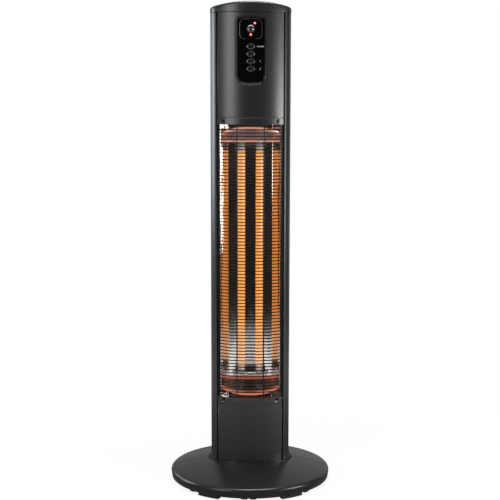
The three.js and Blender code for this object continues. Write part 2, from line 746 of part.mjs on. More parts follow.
// Bowed ladder of cross wires on two side rails and two upright stays, one welded piece.
function buildGuard() {
  const stayInner = STAY_SPACING / 2 - WIRE_DIAMETER / 2;
  const stayOuter = STAY_SPACING / 2 + WIRE_DIAMETER / 2;
  const pair = (x) => ({
    front: new THREE.Vector2(x, frontY(x, GUARD_DEPTH)),
    back: new THREE.Vector2(x, frontY(x, guardBack)),
  });
  const corner = {
    front: new THREE.Vector2(railOuter, frontY(railOuter, GUARD_DEPTH)),
    back: new THREE.Vector2(railInner, frontY(railInner, guardBack)),
  };
  const end = {
    front: new THREE.Vector2(railOuter, frontY(railOuter, flangeBack)),
    back: new THREE.Vector2(railInner, frontY(railInner, flangeBack)),
  };
  const flip = ({ front, back }) => ({
    front: new THREE.Vector2(-front.x, front.y),
    back: new THREE.Vector2(-back.x, back.y),
  });
  const right = [pair(stayInner), pair(stayOuter), corner, end];
  const stations = [...right.map(flip).reverse(), pair(0), ...right];
  const last = stations.length - 2;
  const isUpright = (s) => s % 2 === (s > last / 2 ? 1 : 0);

  const points = [];
  const levels = [];
  for (let k = 0; k < wireCount; k++) {
    const middle = lowerScrewLevel + (k - 0.5) * wirePitch;
    levels.push(middle - WIRE_DIAMETER / 2, middle + WIRE_DIAMETER / 2);
  }
  for (const z of levels) {
    for (const { front, back } of stations) {
      points.push(new THREE.Vector3(front.x, front.y, z), new THREE.Vector3(back.x, back.y, z));
    }
  }
  const id = (level, station, isBack) => (level * stations.length + station) * 2 + isBack;
  const faces = [];
  const quad = (a, b, c, d) => faces.push(a, b, c, a, c, d);
  const filled = (row, s) => {
    if (row < 0 || row >= levels.length - 1) return false;
    return s >= 0 && s <= last && (row % 2 === 0 || isUpright(s));
  };
  for (let row = 0; row < levels.length - 1; row++) {
    for (let s = 0; s <= last; s++) {
      if (!filled(row, s)) continue;
      quad(id(row, s, 0), id(row, s + 1, 0), id(row + 1, s + 1, 0), id(row + 1, s, 0));
      quad(id(row, s + 1, 1), id(row, s, 1), id(row + 1, s, 1), id(row + 1, s + 1, 1));
      if (!filled(row, s - 1)) {
        quad(id(row, s, 1), id(row, s, 0), id(row + 1, s, 0), id(row + 1, s, 1));
      }
      if (!filled(row, s + 1)) {
        quad(id(row, s + 1, 0), id(row, s + 1, 1), id(row + 1, s + 1, 1), id(row + 1, s + 1, 0));
      }
      if (!filled(row - 1, s)) {
        quad(id(row, s, 1), id(row, s + 1, 1), id(row, s + 1, 0), id(row, s, 0));
      }
      if (!filled(row + 1, s)) {
        quad(id(row + 1, s, 0), id(row + 1, s + 1, 0), id(row + 1, s + 1, 1), id(row + 1, s, 1));
      }
    }
  }
  const geometry = new THREE.BufferGeometry().setFromPoints(points);
  geometry.setIndex(faces);
  addPiece("wire_guard", toSolid(geometry), "chromeWire");
}

function buildScrews() {
  const shank = SCREW_DIAMETER / 2;
  const head = SCREW_HEAD_DIAMETER / 2;
  const profile = [
    [0, FIT],
    [head, FIT],
    [head, SCREW_HEAD_HEIGHT],
    [shank, SCREW_HEAD_HEIGHT],
    [shank, SCREW_LENGTH],
    [0, SCREW_LENGTH],
  ];
  for (const { name, x, level } of screwPlaces) {
    addPiece(name, radialFront(turned(profile, SMALL_STEPS), x, level), "blackSteel");
  }
}

// ---------------------------------------------------------------- bulkheads and reflector
const bulkheadFlangeFront = guardBack + GUARD_SEAT;
const bulkheadFlangeBack = bulkheadFlangeFront + BULKHEAD_SHEET;
const bulkheadHalf = railInner - BULKHEAD_GAP;
const upperSheetBottom = headBottom - BULKHEAD_SHEET;
const lowerSheetTop = lowerStripBottom + BULKHEAD_SHEET;

function buildBulkheads() {
  for (const [name, sheet, flange] of [
    ["upper_bulkhead", upperSheetBottom, headBottom - BULKHEAD_FLANGE],
    ["lower_bulkhead", lowerStripBottom, lowerStripBottom],
  ]) {
    const floor = upright(outline(-innerDepth), sheet, sheet + BULKHEAD_SHEET);
    const nose = frontBand(bulkheadHalf, bulkheadFlangeFront, OPEN_CUT);
    const reach = upright(nose, sheet, sheet + BULKHEAD_SHEET);
    const lip = upright(
      frontBand(bulkheadHalf, bulkheadFlangeFront, bulkheadFlangeBack),
      flange,
      flange + BULKHEAD_FLANGE,
    );
    const screws = screwPlaces.filter((s) => s.level > flange && s.level < flange + BULKHEAD_FLANGE);
    const lead = circle(HARNESS_DIAMETER / 2 + FIT, HARNESS_OFFSET, POWER_BOARD_SETBACK);
    const cutters = screws.map((s) => screwCutters(s.x, s.level));
    cutters.push(upright(lead, sheet - OPEN_CUT, sheet + OPEN_CUT));
    addPiece(name, cut(join([floor, reach, lip]), cutters), "zincSteel");
  }
}

const reflectorBottom = lowerSheetTop + FIT;
const reflectorTop = upperSheetBottom - FIT;
const lipOuter = grooveEdge;
const lipInner = railInner;
const backHalf = REFLECTOR_BACK_WIDTH / 2;

const mouth = frontY(lipInner, innerDepth);
const lean = (backHalf - lipInner) / (REFLECTOR_BACK - mouth);

// Section of the mirror trough, from lip to lip.
function troughSection() {
  const face = [
    [lipOuter, frontY(lipOuter, innerDepth)],
    [lipInner, mouth],
    [backHalf, REFLECTOR_BACK],
  ];
  const shift = SHEET * (Math.hypot(1, lean) + lean);
  const back = [
    [lipOuter, face[0][1] + SHEET],
    [lipInner + shift, face[1][1] + SHEET],
    [backHalf + shift, REFLECTOR_BACK + SHEET],
  ];
  const flipped = (points) => points.map(([x, y]) => [-x, y]);
  const path = [...flipped(face), ...face.slice().reverse(), ...back, ...flipped(back).reverse()];
  return path.map(([x, y]) => new THREE.Vector2(x, y));
}

// Plan region inside the trough and behind the guard, clear of both.
function troughRoom() {
  const wall = (y) => lipInner + (y - mouth) * lean - FIT * Math.hypot(1, lean);
  const depth = bulkheadFlangeBack + FIT;
  const nose = wall(frontY(bulkheadHalf, depth));
  const back = REFLECTOR_BACK - FIT;
  return [
    ...frontBand(nose, depth, depth + SHEET).slice(0, ARC_STEPS + 1),
    new THREE.Vector2(wall(back), back),
    new THREE.Vector2(-wall(back), back),
  ];
}

function buildReflector() {
  addPiece("reflector_trough", upright(troughSection(), reflectorBottom, reflectorTop), "mirror");
  const room = troughRoom();
  const front = -COLUMN_FRONT;
  for (const [name, level, sign] of [
    ["reflector_upper_end", openingTop, 1],
    ["reflector_lower_end", openingBottom, -1],
  ]) {
    const near = level;
    const far = level - sign * REFLECTOR_END_DROP;
    const low = Math.min(0, sign * SHEET);
    const high = Math.max(0, sign * SHEET);
    const slab = [
      new THREE.Vector2(front, near + low),
      new THREE.Vector2(REFLECTOR_BACK, far + low),
      new THREE.Vector2(REFLECTOR_BACK, far + high),
      new THREE.Vector2(front, near + high),
    ];
    const plate = across(slab, -lipInner, lipInner).intersect(upright(room, reflectorBottom, reflectorTop));
    addPiece(name, plate, "mirror");
  }
}

// ---------------------------------------------------------------- lamps
const lampTop = openingTop - LAMP_MARGIN + LAMP_RISE;
const lampBottom = openingBottom + LAMP_MARGIN + LAMP_RISE;

function buildLamps() {
  const bore = TUBE_DIAMETER / 2 - TUBE_WALL;
  const tubeBottom = lampBottom + CERAMIC_LENGTH + FIT;
  const tubeTop = lampTop - CERAMIC_LENGTH - FIT;
  for (const [side, sign] of [
    ["left", -1],
    ["right", 1],
  ]) {
    const x = (sign * LAMP_SPACING) / 2;
    const y = LAMP_SETBACK;
    const tube = upright(circle(TUBE_DIAMETER / 2, x, y, LAMP_STEPS), tubeBottom, tubeTop, [
      circle(bore, x, y, LAMP_STEPS),
    ]);
    addPiece(`quartz_tube_${side}`, tube, "quartz");
    const reach = SPIGOT_LENGTH + FIT;
    const glow = upright(circle(FILAMENT_DIAMETER / 2, x, y, 8), tubeBottom + reach, tubeTop - reach);
    addPiece(`filament_${side}`, glow, "glow");
    for (const [end, outer, way] of [
      ["upper", lampTop, -1],
      ["lower", lampBottom, 1],
    ]) {
      const level = (distance) => outer + way * distance;
      const span = (radius, from, to) =>
        upright(
          circle(radius, x, y, LAMP_STEPS),
          Math.min(level(from), level(to)),
          Math.max(level(from), level(to)),
        );
      const body = span(CERAMIC_DIAMETER / 2, 0, CERAMIC_LENGTH);
      const spigot = span(bore - FIT, CERAMIC_LENGTH - FIT, CERAMIC_LENGTH + FIT + SPIGOT_LENGTH);
      const stud = span(STUD_DIAMETER / 2, -STUD_LENGTH, FIT);
      addPiece(`lamp_end_${end}_${side}`, join([body, spigot, stud]), "ceramic");
    }
  }
}

function buildBrackets() {
  const back = REFLECTOR_BACK - FIT;
  const front = LAMP_SETBACK - CERAMIC_DIAMETER / 2 - BRACKET_SHEET * 2;
  const holes = [-1, 1].map((s) =>
    circle(CERAMIC_DIAMETER / 2 + FIT, (s * LAMP_SPACING) / 2, LAMP_SETBACK, LAMP_STEPS),
  );
  for (const [name, level, way] of [
    ["lamp_bracket_upper", lampTop - BRACKET_INSET, -1],
    ["lamp_bracket_lower", lampBottom + BRACKET_INSET, 1],
  ]) {
    const reach = BRACKET_WIDTH / 2;
    const shelf = upright(
      rectangle(-reach, reach, front, back),
      level - BRACKET_SHEET / 2,
      level + BRACKET_SHEET / 2,
      holes,
    );
    const lip = upright(
      rectangle(-reach, reach, back - BRACKET_SHEET, back),
      Math.min(level, level + way * BRACKET_LIP),
      Math.max(level, level + way * BRACKET_LIP),
    );
    addPiece(name, shelf.add(lip), "zincSteel");
  }
}

// ---------------------------------------------------------------- control panel
const controlTop = capBottom - CONTROL_TOP_DROP;
const controlBottom = controlTop - CONTROL_HEIGHT;
const windowTop = controlTop - WINDOW_DROP;
const windowMiddle = windowTop - WINDOW_HEIGHT / 2;
const fasciaBack = -COLUMN_FRONT + FASCIA_BACK;
const ledgeBack = fasciaBack + FIT + FLANGE_THICKNESS;
const boardFront = -COLUMN_FRONT + BOARD_DEPTH;

function roundedRectangle(halfWidth, z0, z1, lowRadius, highRadius) {
  const points = [];
  const steps = 3;
  const corner = (x, z, radius, from) => {
    for (let i = 0; i <= steps; i++) {
      const a = degToRad(from + (90 * i) / steps);
      points.push(new THREE.Vector2(x + radius * Math.cos(a), z + radius * Math.sin(a)));
    }
  };
  const edge = (z, from, to) => {
    for (let i = 1; i < steps; i++) {
      points.push(new THREE.Vector2(from + ((to - from) * i) / steps, z));
    }
  };
  const low = halfWidth - lowRadius;
  const high = halfWidth - highRadius;
  corner(low, z0 + lowRadius, lowRadius, -90);
  corner(high, z1 - highRadius, highRadius, 0);
  edge(z1, high, -high);
  corner(-high, z1 - highRadius, highRadius, 90);
  corner(-low, z0 + lowRadius, lowRadius, 180);
  edge(z0, -low, low);
  return points;
}

// Panel outline, drawn in by an inset, with its top and bottom edges bowed outwards.
function controlOutline(inset) {
  const halfWidth = CONTROL_WIDTH / 2 - inset;
  const low = controlBottom + CONTROL_ARCH + inset;
  const high = controlTop - CONTROL_ARCH - inset;
  const middle = (controlTop + controlBottom) / 2;
  const lowRadius = Math.max(CONTROL_BOTTOM_RADIUS - inset, 1);
  const highRadius = Math.max(CONTROL_TOP_RADIUS - inset, 1);
  return roundedRectangle(halfWidth, low, high, lowRadius, highRadius).map((p) => {
    const bow = CONTROL_ARCH * (1 - (p.x / halfWidth) ** 2);
    return new THREE.Vector2(p.x, p.y + (p.y > middle ? bow : -bow));
  });
}

const windowOutline = (grow) =>
  roundedRectangle(
    WINDOW_WIDTH / 2 + grow,
    windowTop - WINDOW_HEIGHT - grow,
    windowTop + grow,
    WINDOW_RADIUS,
    WINDOW_RADIUS,
  );

// Everything behind the front face at a depth, across the head.
const behindFront = (depth, back) => upright(frontBand(grooveEdge, depth, back), headBottom, TOTAL_HEIGHT);
const faceStart = -COLUMN_FRONT - OPEN_CUT;

const buttons = Array.from({ length: BUTTON_COUNT }, (_, i) => ({
  name: `button_${i + 1}`,
  level: windowTop - WINDOW_HEIGHT - FIRST_BUTTON_DROP - i * BUTTON_PITCH,
}));
const leds = [
  { name: "power_led", x: POWER_LED_OFFSET, level: windowMiddle + POWER_LED_RISE, finishName: "redLed" },
  { name: "heat_led", x: 0, level: windowMiddle - HEAT_LED_DROP, finishName: "amberLed" },
];

function buildPanel() {
  const deep = 2 * BOARD_DEPTH;
  const rim = backward(controlOutline(FIT), faceStart, ledgeBack).intersect(behindFront(BEZEL_DEPTH, deep));
  const flange = backward(controlOutline(-BEZEL_FLANGE), faceStart, ledgeBack).intersect(
    behindFront(COVER_SKIN + FIT, COVER_SKIN + FIT + FLANGE_THICKNESS),
  );
  const pocket = backward(controlOutline(FIT + BEZEL_WALL), faceStart, fasciaBack + FIT);
  const through = backward(controlOutline(FIT + BEZEL_WALL + BEZEL_LEDGE), faceStart, 0);
  const middle = (controlTop + controlBottom) / 2;
  const rise = CONTROL_HEIGHT / 4;
  const posts = [-1, 1].flatMap((sx) =>
    [-1, 1].map((sz) => {
      const centre = circle(POST_DIAMETER / 2, (sx * POST_SPACING) / 2, middle + sz * rise, 8);
      return backward(centre, ledgeBack - FLANGE_THICKNESS / 2, boardFront - FIT);
    }),
  );
  addPiece("control_bezel", join([cut(join([rim, flange]), [pocket, through]), ...posts]), "blackPlastic");

  const windowHole = backward(windowOutline(FIT), faceStart, 0);
  const buttonHoles = buttons.map(({ level }) =>
    backward(oval(BUTTON_WIDTH + 2 * FIT, BUTTON_HEIGHT + 2 * FIT, 0, level), faceStart, 0),
  );
  const plate = backward(controlOutline(2 * FIT + BEZEL_WALL), faceStart, fasciaBack);
  const fascia = cut(plate.intersect(behindFront(FASCIA_DEPTH, deep)), [windowHole, ...buttonHoles]);
  addPiece("control_fascia", fascia, "glossBlack");

  const eye = circle(LENS_DIAMETER / 2 + FIT, 0, windowMiddle, LAMP_STEPS);
  const eyeHole = backward(eye, faceStart, 0);
  const ledHoles = leds.map(({ x, level }) => {
    return backward(circle(LED_DIAMETER / 2 + FIT, x, level), faceStart, 0);
  });
  const pane = backward(windowOutline(0), faceStart, fasciaBack).intersect(behindFront(WINDOW_DEPTH, deep));
  addPiece("receiver_window", cut(pane, [eyeHole, ...ledHoles]), "smokedWindow");
}

// A round piece that stands on the control board and faces the front.
function facing(profile, x, level, steps) {
  const points = profile.map(([radius, height]) => new THREE.Vector2(radius, height));
  const geometry = new THREE.LatheGeometry(points, steps).rotateX(Math.PI);
  return toSolid(geometry.translate(x, boardFront - FIT, level));
}

function domed(radius, height, dome) {
  const steps = 3;
  const cap = Array.from({ length: steps }, (_, i) => {
    const a = (Math.PI / 2) * ((i + 1) / steps);
    return [i + 1 === steps ? 0 : radius * Math.cos(a), height + dome * Math.sin(a)];
  });
  return [[0, 0], [radius, 0], [radius, height], ...cap];
}

function buildLights() {
  const reach = boardFront - FIT + COLUMN_FRONT - WINDOW_DEPTH;
  const eye = facing(domed(LENS_DIAMETER / 2, reach, LENS_DOME), 0, windowMiddle, LAMP_STEPS);
  addPiece("receiver_lens", eye, "lensClear");
  const light = domed(LED_DIAMETER / 2, reach - FIT, LED_DIAMETER / 4);
  for (const { name, x, level, finishName } of leds) {
    addPiece(name, facing(light, x, level, SMALL_STEPS), finishName);
  }
}

const flangeFace = fasciaBack + FIT;
const buttonEnd = boardFront - SWITCH_HEIGHT - BUTTON_TRAVEL - FIT;

function buildButtons() {
  const face = -COLUMN_FRONT + FASCIA_DEPTH - BUTTON_PROUD;
  for (const { name, level } of buttons) {
    const back = flangeFace + BUTTON_FLANGE_THICKNESS;
    const grow = 2 * BUTTON_FLANGE;
    const cap = backward(oval(BUTTON_WIDTH, BUTTON_HEIGHT, 0, level), face, back);
    const brim = oval(BUTTON_WIDTH + grow, BUTTON_HEIGHT + grow, 0, level);
    const flange = backward(brim, flangeFace, back);
    const stem = backward(circle(SWITCH_DIAMETER / 2, 0, level), flangeFace, buttonEnd);
    addPiece(name, join([cap, flange, stem]), "greyButton");
  }
}

function buildBoards() {
  const reach = BOARD_WIDTH / 2;
  const boardBack = boardFront + BOARD_THICKNESS;
  const plate = rectangle(-reach, reach, controlBottom + BOARD_MARGIN, controlTop - BOARD_MARGIN);
  const sheet = backward(plate, boardFront, boardBack);
  const switches = buttons.map(({ level }) => {
    return backward(circle(SWITCH_DIAMETER / 2, 0, level), boardFront - SWITCH_HEIGHT, boardBack);
  });
  addPiece("control_board", join([sheet, ...switches]), "board");

  const setback = POWER_BOARD_SETBACK;
  const wide = POWER_BOARD_WIDTH / 2;
  const middle = powerBoardBottom + POWER_BOARD_HEIGHT / 2;
  const panel = backward(
    rectangle(-wide, wide, powerBoardBottom, powerBoardBottom + POWER_BOARD_HEIGHT),
    setback - BOARD_THICKNESS / 2,
    setback + BOARD_THICKNESS / 2,
  );
  const relays = [-1, 1].map((s) => {
    const x = s * RELAY_WIDTH;
    const body = rectangle(x - RELAY_WIDTH / 2, x + RELAY_WIDTH / 2, middle, middle + RELAY_HEIGHT);
    return backward(body, setback - RELAY_DEPTH, setback);
  });
  const posts = [-1, 1].flatMap((sx) =>
    [-1, 1].map((sz) => {
      const x = (sx * POWER_POST_SPACING) / 2;
      const z = middle + (sz * POWER_POST_SPACING) / 2;
      const wall = rearY(Math.abs(x) + POWER_POST_DIAMETER / 2, COVER_SKIN + FIT);
      return backward(circle(POWER_POST_DIAMETER / 2, x, z, 8), setback, wall);
    }),
  );
  addPiece("power_board", join([panel, ...relays, ...posts]), "board");

  const tail = controlBottom + 3 * BOARD_MARGIN;
  const end = setback - BOARD_THICKNESS / 2 - FIT;
  const cable = backward(circle(HARNESS_DIAMETER / 2, 0, tail, 8), boardBack + FIT, end);
  addPiece("control_cable", cable, "blackPlastic");
}

// ---------------------------------------------------------------- supply
const powerBoardBottom = headBottom + POWER_BOARD_RISE;
const glandLevel = columnBottom + GLAND_RISE;
const terminalTop = lowerStripBottom - FIT;
const terminalBottom = terminalTop - TERMINAL_HEIGHT;

function buildSupply() {
  const setback = POWER_BOARD_SETBACK;
  const way = TERMINAL_WIDTH / TERMINAL_WAYS;
  const left = -TERMINAL_WIDTH / 2;
  const steps = Array.from({ length: TERMINAL_WAYS - 1 }, (_, i) => left + way * (i + 1));
  const notch = TERMINAL_HEIGHT / 3;
  const blocks = upright(
    rectangle(left, -left, setback - TERMINAL_DEPTH / 2, setback + TERMINAL_DEPTH / 2),
    terminalBottom,
    terminalTop,
  );
  const grooves = steps.map((x) =>
    backward(
      rectangle(x - FIT * 2, x + FIT * 2, terminalBottom - OPEN_CUT, terminalBottom + notch),
      setback - TERMINAL_DEPTH,
      setback + TERMINAL_DEPTH,
    ),
  );
  addPiece("terminal_block", cut(blocks, grooves), "nylon");

  const harness = circle(HARNESS_DIAMETER / 2, HARNESS_OFFSET, setback, 8);
  addPiece("wiring_harness", upright(harness, terminalTop + FIT, powerBoardBottom - FIT), "blackPlastic");

  const canWidth = TILT_SWITCH_WIDTH / 2;
  const canDepth = TILT_SWITCH_DEPTH / 2;
  const can = rectangle(-canWidth, canWidth, -canDepth, canDepth);
  addPiece("tilt_switch", upright(can, columnBottom, columnBottom + TILT_SWITCH_HEIGHT), "nylon");

  const panelY = COLUMN_REAR + FIT;
  const thread = GLAND_THREAD_DIAMETER / 2;
  const dome = GLAND_DOME_DIAMETER / 2;
  const tip = panelY + GLAND_FLANGE_THICKNESS + GLAND_DOME;
  const glandStart = panelY - GLAND_THREAD_LENGTH;
  const bore = GLAND_BORE / 2;
  const gland = [
    [bore, glandStart],
    [thread, glandStart],
    [thread, panelY],
    [GLAND_FLANGE_DIAMETER / 2, panelY],
    [GLAND_FLANGE_DIAMETER / 2, panelY + GLAND_FLANGE_THICKNESS],
    [dome, panelY + GLAND_FLANGE_THICKNESS],
    [dome - GLAND_TAPER, tip],
    [bore, tip],
    [bore, glandStart],
  ];
  addPiece("cable_gland", rearward(gland, LAMP_STEPS), "blackPlastic");

  const nutBack = rearY(GLAND_NUT_DIAMETER / 2, COVER_SKIN) - FIT;
  const nut = [
    [thread + FIT, nutBack - GLAND_NUT_THICKNESS],
    [GLAND_NUT_DIAMETER / 2, nutBack - GLAND_NUT_THICKNESS],
    [GLAND_NUT_DIAMETER / 2, nutBack],
    [thread + FIT, nutBack],
    [thread + FIT, nutBack - GLAND_NUT_THICKNESS],
  ];
  addPiece("gland_nut", rearward(nut, LAMP_STEPS), "blackPlastic");

  const start = new THREE.Vector3(0, glandStart - FIT, glandLevel);
  const finishAt = new THREE.Vector3(0, setback, terminalBottom - FIT);
  const route = new THREE.CubicBezierCurve3(
    start,
    new THREE.Vector3(0, setback - LEAD_DIAMETER, glandLevel),
    new THREE.Vector3(0, setback, glandLevel + LEAD_DIAMETER),
    finishAt,
  );
  const section = new THREE.Shape(circle(LEAD_DIAMETER / 2, 0, 0, 8));
  const lead = new THREE.ExtrudeGeometry(section, { extrudePath: route, steps: 10, bevelEnabled: false });
  addPiece("mains_lead_inner", toSolid(lead), "rubber");
}

// Profile (radius, y) turned about the gland's axis.
function rearward(profile, steps) {
  const points = profile.map(([radius, y]) => new THREE.Vector2(radius, y));
  return toSolid(new THREE.LatheGeometry(points, steps).translate(0, 0, glandLevel));
}

buildBase();
buildBottom();
buildSocket();
buildSides();
buildCovers();
buildCap();
buildGuard();
buildScrews();
buildBulkheads();
buildReflector();
buildLamps();
buildBrackets();
buildPanel();
buildLights();
buildButtons();
buildBoards();
buildSupply();

export default heater;
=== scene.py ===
"""Infrared patio heater tower: the looks of every piece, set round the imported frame."""
import math

import bmesh
import bpy
import numpy as np
from bpy.props import FloatProperty, FloatVectorProperty, IntProperty, PointerProperty
from bpy.types import Operator, Panel, PropertyGroup
from mathutils import Matrix, Vector
from mathutils.geometry import delaunay_2d_cdt


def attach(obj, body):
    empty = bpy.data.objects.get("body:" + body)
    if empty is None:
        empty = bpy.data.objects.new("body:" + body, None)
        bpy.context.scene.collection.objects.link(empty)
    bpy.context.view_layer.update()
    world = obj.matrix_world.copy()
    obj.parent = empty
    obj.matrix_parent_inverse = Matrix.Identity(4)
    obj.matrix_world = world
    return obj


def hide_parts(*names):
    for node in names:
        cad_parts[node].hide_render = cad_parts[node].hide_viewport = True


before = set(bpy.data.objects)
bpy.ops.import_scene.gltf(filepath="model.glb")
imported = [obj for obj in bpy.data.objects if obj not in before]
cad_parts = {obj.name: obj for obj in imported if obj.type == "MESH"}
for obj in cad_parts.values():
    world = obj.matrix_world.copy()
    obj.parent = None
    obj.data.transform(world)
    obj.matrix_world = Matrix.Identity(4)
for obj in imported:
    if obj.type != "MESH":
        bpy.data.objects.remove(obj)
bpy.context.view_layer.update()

bl_info = {
    "name": "Patio Heater Tower",
    "version": (1, 0, 0),
    "blender": (4, 5, 0),
    "location": "View3D > Sidebar > Heater",
    "description": "Builds the visible pieces, finishes and stage of an infrared heater tower",
    "category": "Object",
}

# ------------------------------------------------------------------ sizes
# Plan and height sizes are in millimetres, as in the frame; meshes are put in metres.
MM = 0.001
PANEL_HALF = 78.0
GROOVE_EDGE = 81.0
SIDE_WIDTH = 14.5
COLUMN_HALF = GROOVE_EDGE + SIDE_WIDTH
FRONT_RADIUS = 148.0
REAR_RADIUS = 190.0
COLUMN_FRONT = 57.0
COLUMN_REAR = 52.0
FRONT_CENTRE = FRONT_RADIUS - COLUMN_FRONT
REAR_CENTRE = COLUMN_REAR - REAR_RADIUS
FRONT_SHOULDER = 29.0
REAR_SHOULDER = 24.0
SIDE_SKIN = 2.2
COVER_SKIN = 2.0
COVER_RETURN = 4.0
STRIP_SKIN = 3.0
FLANGE = 2.0
FLANGE_TIP = 75.0
FIT = 0.3
FOOT_FLARE = 5.0
FLARE_HEIGHT = 28.0

TOTAL_HEIGHT = 1157.0
CAP_BOTTOM = 1133.0
HEAD_BOTTOM = 888.5
OPENING_TOP = 871.5
OPENING_BOTTOM = 214.0
LOWER_TOP = 197.0
COLUMN_BOTTOM = 25.8
SEAM = 0.3
UPPER_SCREWS = 880.0
LOWER_SCREWS = 208.3

BASE_RADIUS = 195.0
BASE_DEPTH_SHARE = 368.5 / 390.0
EDGE_RADIUS = 9.0
EDGE_LEVEL = 22.0
EDGE_CENTRE = BASE_RADIUS - EDGE_RADIUS
SKIRT_OUTER = 193.0
SKIRT_INNER = 190.0
SKIRT_LEVEL = 8.0
BOTTOM_PLATE = 2.5
BASE_WALL = 3.0
DOME_RADIUS = 625.0
DOME_CENTRE = EDGE_LEVEL - math.sqrt((DOME_RADIUS - EDGE_RADIUS) ** 2 - EDGE_CENTRE**2)
DOME_LEAN = math.asin(EDGE_CENTRE / (DOME_RADIUS - EDGE_RADIUS))

LAMP_X = 21.65
LAMP_Y = -15.0
LAMP_TOP = 832.75
LAMP_BOTTOM = 264.75
CERAMIC_LENGTH = 24.0
TUBE_RADIUS = 9.0

CONTROL_HALF = 36.3
CONTROL_TOP = 1123.0
CONTROL_BOTTOM = 965.0
CONTROL_ARCH = 4.0
WINDOW_TOP = 1116.5
WINDOW_BOTTOM = 1069.5
LENS_LEVEL = 1093.0
POWER_LIGHT = (9.3, 1106.0)
HEAT_LIGHT = (0.0, 1080.0)
BUTTON_LEVELS = (1052.5, 1035.5, 1018.5, 1001.5)
FASCIA_DEPTH = 1.2
FASCIA_BACK = -49.0
WINDOW_DEPTH = 0.7
BOARD_FRONT = -40.3
BEZEL_BACK = -46.7
BEZEL_LEDGE = -48.7
BUTTON_BACK = -47.7

SCREW_X = 64.3
SEAT_RADIUS = 4.0
SEAT_RIM = 4.45
SEAT_DEPTH = 1.9
SEAT_FALL = 0.35
STRIP_HEIGHT = HEAD_BOTTOM - OPENING_TOP
WIRE_COUNT = 88

# the mirror trough: its mouth and its flat back, and how far its end walls reach along it
TROUGH_DEPTH = 6.6
TROUGH_MOUTH = 72.2
TROUGH_FLAT = 55.0
TROUGH_BACK = 4.0
TROUGH_LEVELS = (198.8, 886.7)
END_DEPTH = 8.9
END_REACH = 42.0

FOOT_GAP = 1.5
FOOT_DEPTH = 18.0
FOOT_SPAN = 17.0
FOOT_ANGLES = {"foot_front_left": -32, "foot_front_right": 32, "foot_rear_left": -148, "foot_rear_right": 148}
RIB_DEPTH = 0.7
CAP_CROWN = 12.0
CAP_OVERHANG = 0.7
CAP_EDGE = 5.0
CAP_WALL = 2.5
CAP_PLUG = -6.6
GLAND_LEVEL = 91.8
GLAND_START = 45.3
VENT_STARTS = (924.5, 984.5, 147.0)
VENT_PITCH = 10
VENT_HALF = 25

# the camera, in millimetres of lens, metres, and degrees of heading, pitch and roll
CAMERA_LENS = 79.68
CAMERA_PLACE = (-0.01144, -2.66413, 0.91809)
CAMERA_ANGLES = (-0.229, 90 - 7.466, 0.088)

# points nearer than this, in metres, are one point
SAME_POINT = 2e-6
NO_LENGTH = 1e-7


def front_y(x, depth=0.0):
    """Front surface of the column at x, a depth inside it."""
    return FRONT_CENTRE - np.sqrt((FRONT_RADIUS - depth) ** 2 - np.square(x))


def rear_y(x, depth=0.0):
    """Rear surface of the column at x, a depth inside it."""
    return REAR_CENTRE + np.sqrt((REAR_RADIUS - depth) ** 2 - np.square(x))


def dome_z(radius, depth=0.0):
    """Height of the base's domed skin at a radius, a depth inside it."""
    return DOME_CENTRE + np.sqrt((DOME_RADIUS - depth) ** 2 - np.square(radius))


FOOT_LEVEL = float(dome_z(COLUMN_HALF))


def half_outline(arc_steps=26, shoulder_steps=16):
    """Right-hand half of the column in plan, from the front: x, y, normal, and 1 on the side profile."""
    rows = []
    front_turn = math.asin(GROOVE_EDGE / FRONT_RADIUS)
    rear_turn = math.asin(GROOVE_EDGE / REAR_RADIUS)
    for a in np.linspace(0, front_turn, arc_steps, endpoint=False):
        rows.append(
            (
                FRONT_RADIUS * math.sin(a), FRONT_CENTRE - FRONT_RADIUS * math.cos(a), math.sin(a),
                -math.cos(a), 0,
            )
        )
    front_edge = np.array([GROOVE_EDGE, front_y(GROOVE_EDGE)])
    rear_edge = np.array([GROOVE_EDGE, rear_y(GROOVE_EDGE)])
    shoulders = (
        (
            front_edge, (COLUMN_HALF, front_edge[1] + SIDE_WIDTH * math.tan(front_turn)),
            (COLUMN_HALF, front_edge[1] + FRONT_SHOULDER),
        ),
        (
            (COLUMN_HALF, rear_edge[1] - REAR_SHOULDER),
            (COLUMN_HALF, rear_edge[1] - SIDE_WIDTH * math.tan(rear_turn)), rear_edge,
        ),
    )
    for a, b, c in shoulders:
        a, b, c = np.array(a), np.array(b), np.array(c)
        for t in np.linspace(0, 1, shoulder_steps + 1):
            p = (1 - t) ** 2 * a + 2 * t * (1 - t) * b + t**2 * c
            d = (1 - t) * (b - a) + t * (c - b)
            d /= np.linalg.norm(d)
            rows.append((p[0], p[1], d[1], -d[0], 1))
    for a in np.linspace(0, rear_turn, arc_steps, endpoint=False)[::-1]:
        rows.append(
            (REAR_RADIUS * math.sin(a), REAR_CENTRE + REAR_RADIUS * math.cos(a), math.sin(a), math.cos(a), 0)
        )
    return np.array(rows)


HALF = half_outline()


def spread(x, flare):
    """Moves points of the side profile outwards, most at its widest plane."""
    share = np.clip((np.abs(x) - GROOVE_EDGE) / SIDE_WIDTH, 0, 1)
    return x + np.sign(x) * flare * share


def column_outline(offset, flare=0.0):
    """The column's outline in plan, counter-clockwise, moved outwards by an offset."""
    right = HALF[:, :2] + HALF[:, 2:4] * offset
    left = right[1:-1][::-1] * (-1, 1)
    points = np.vstack([right, left])
    points[:, 0] = spread(points[:, 0], flare)
    return points


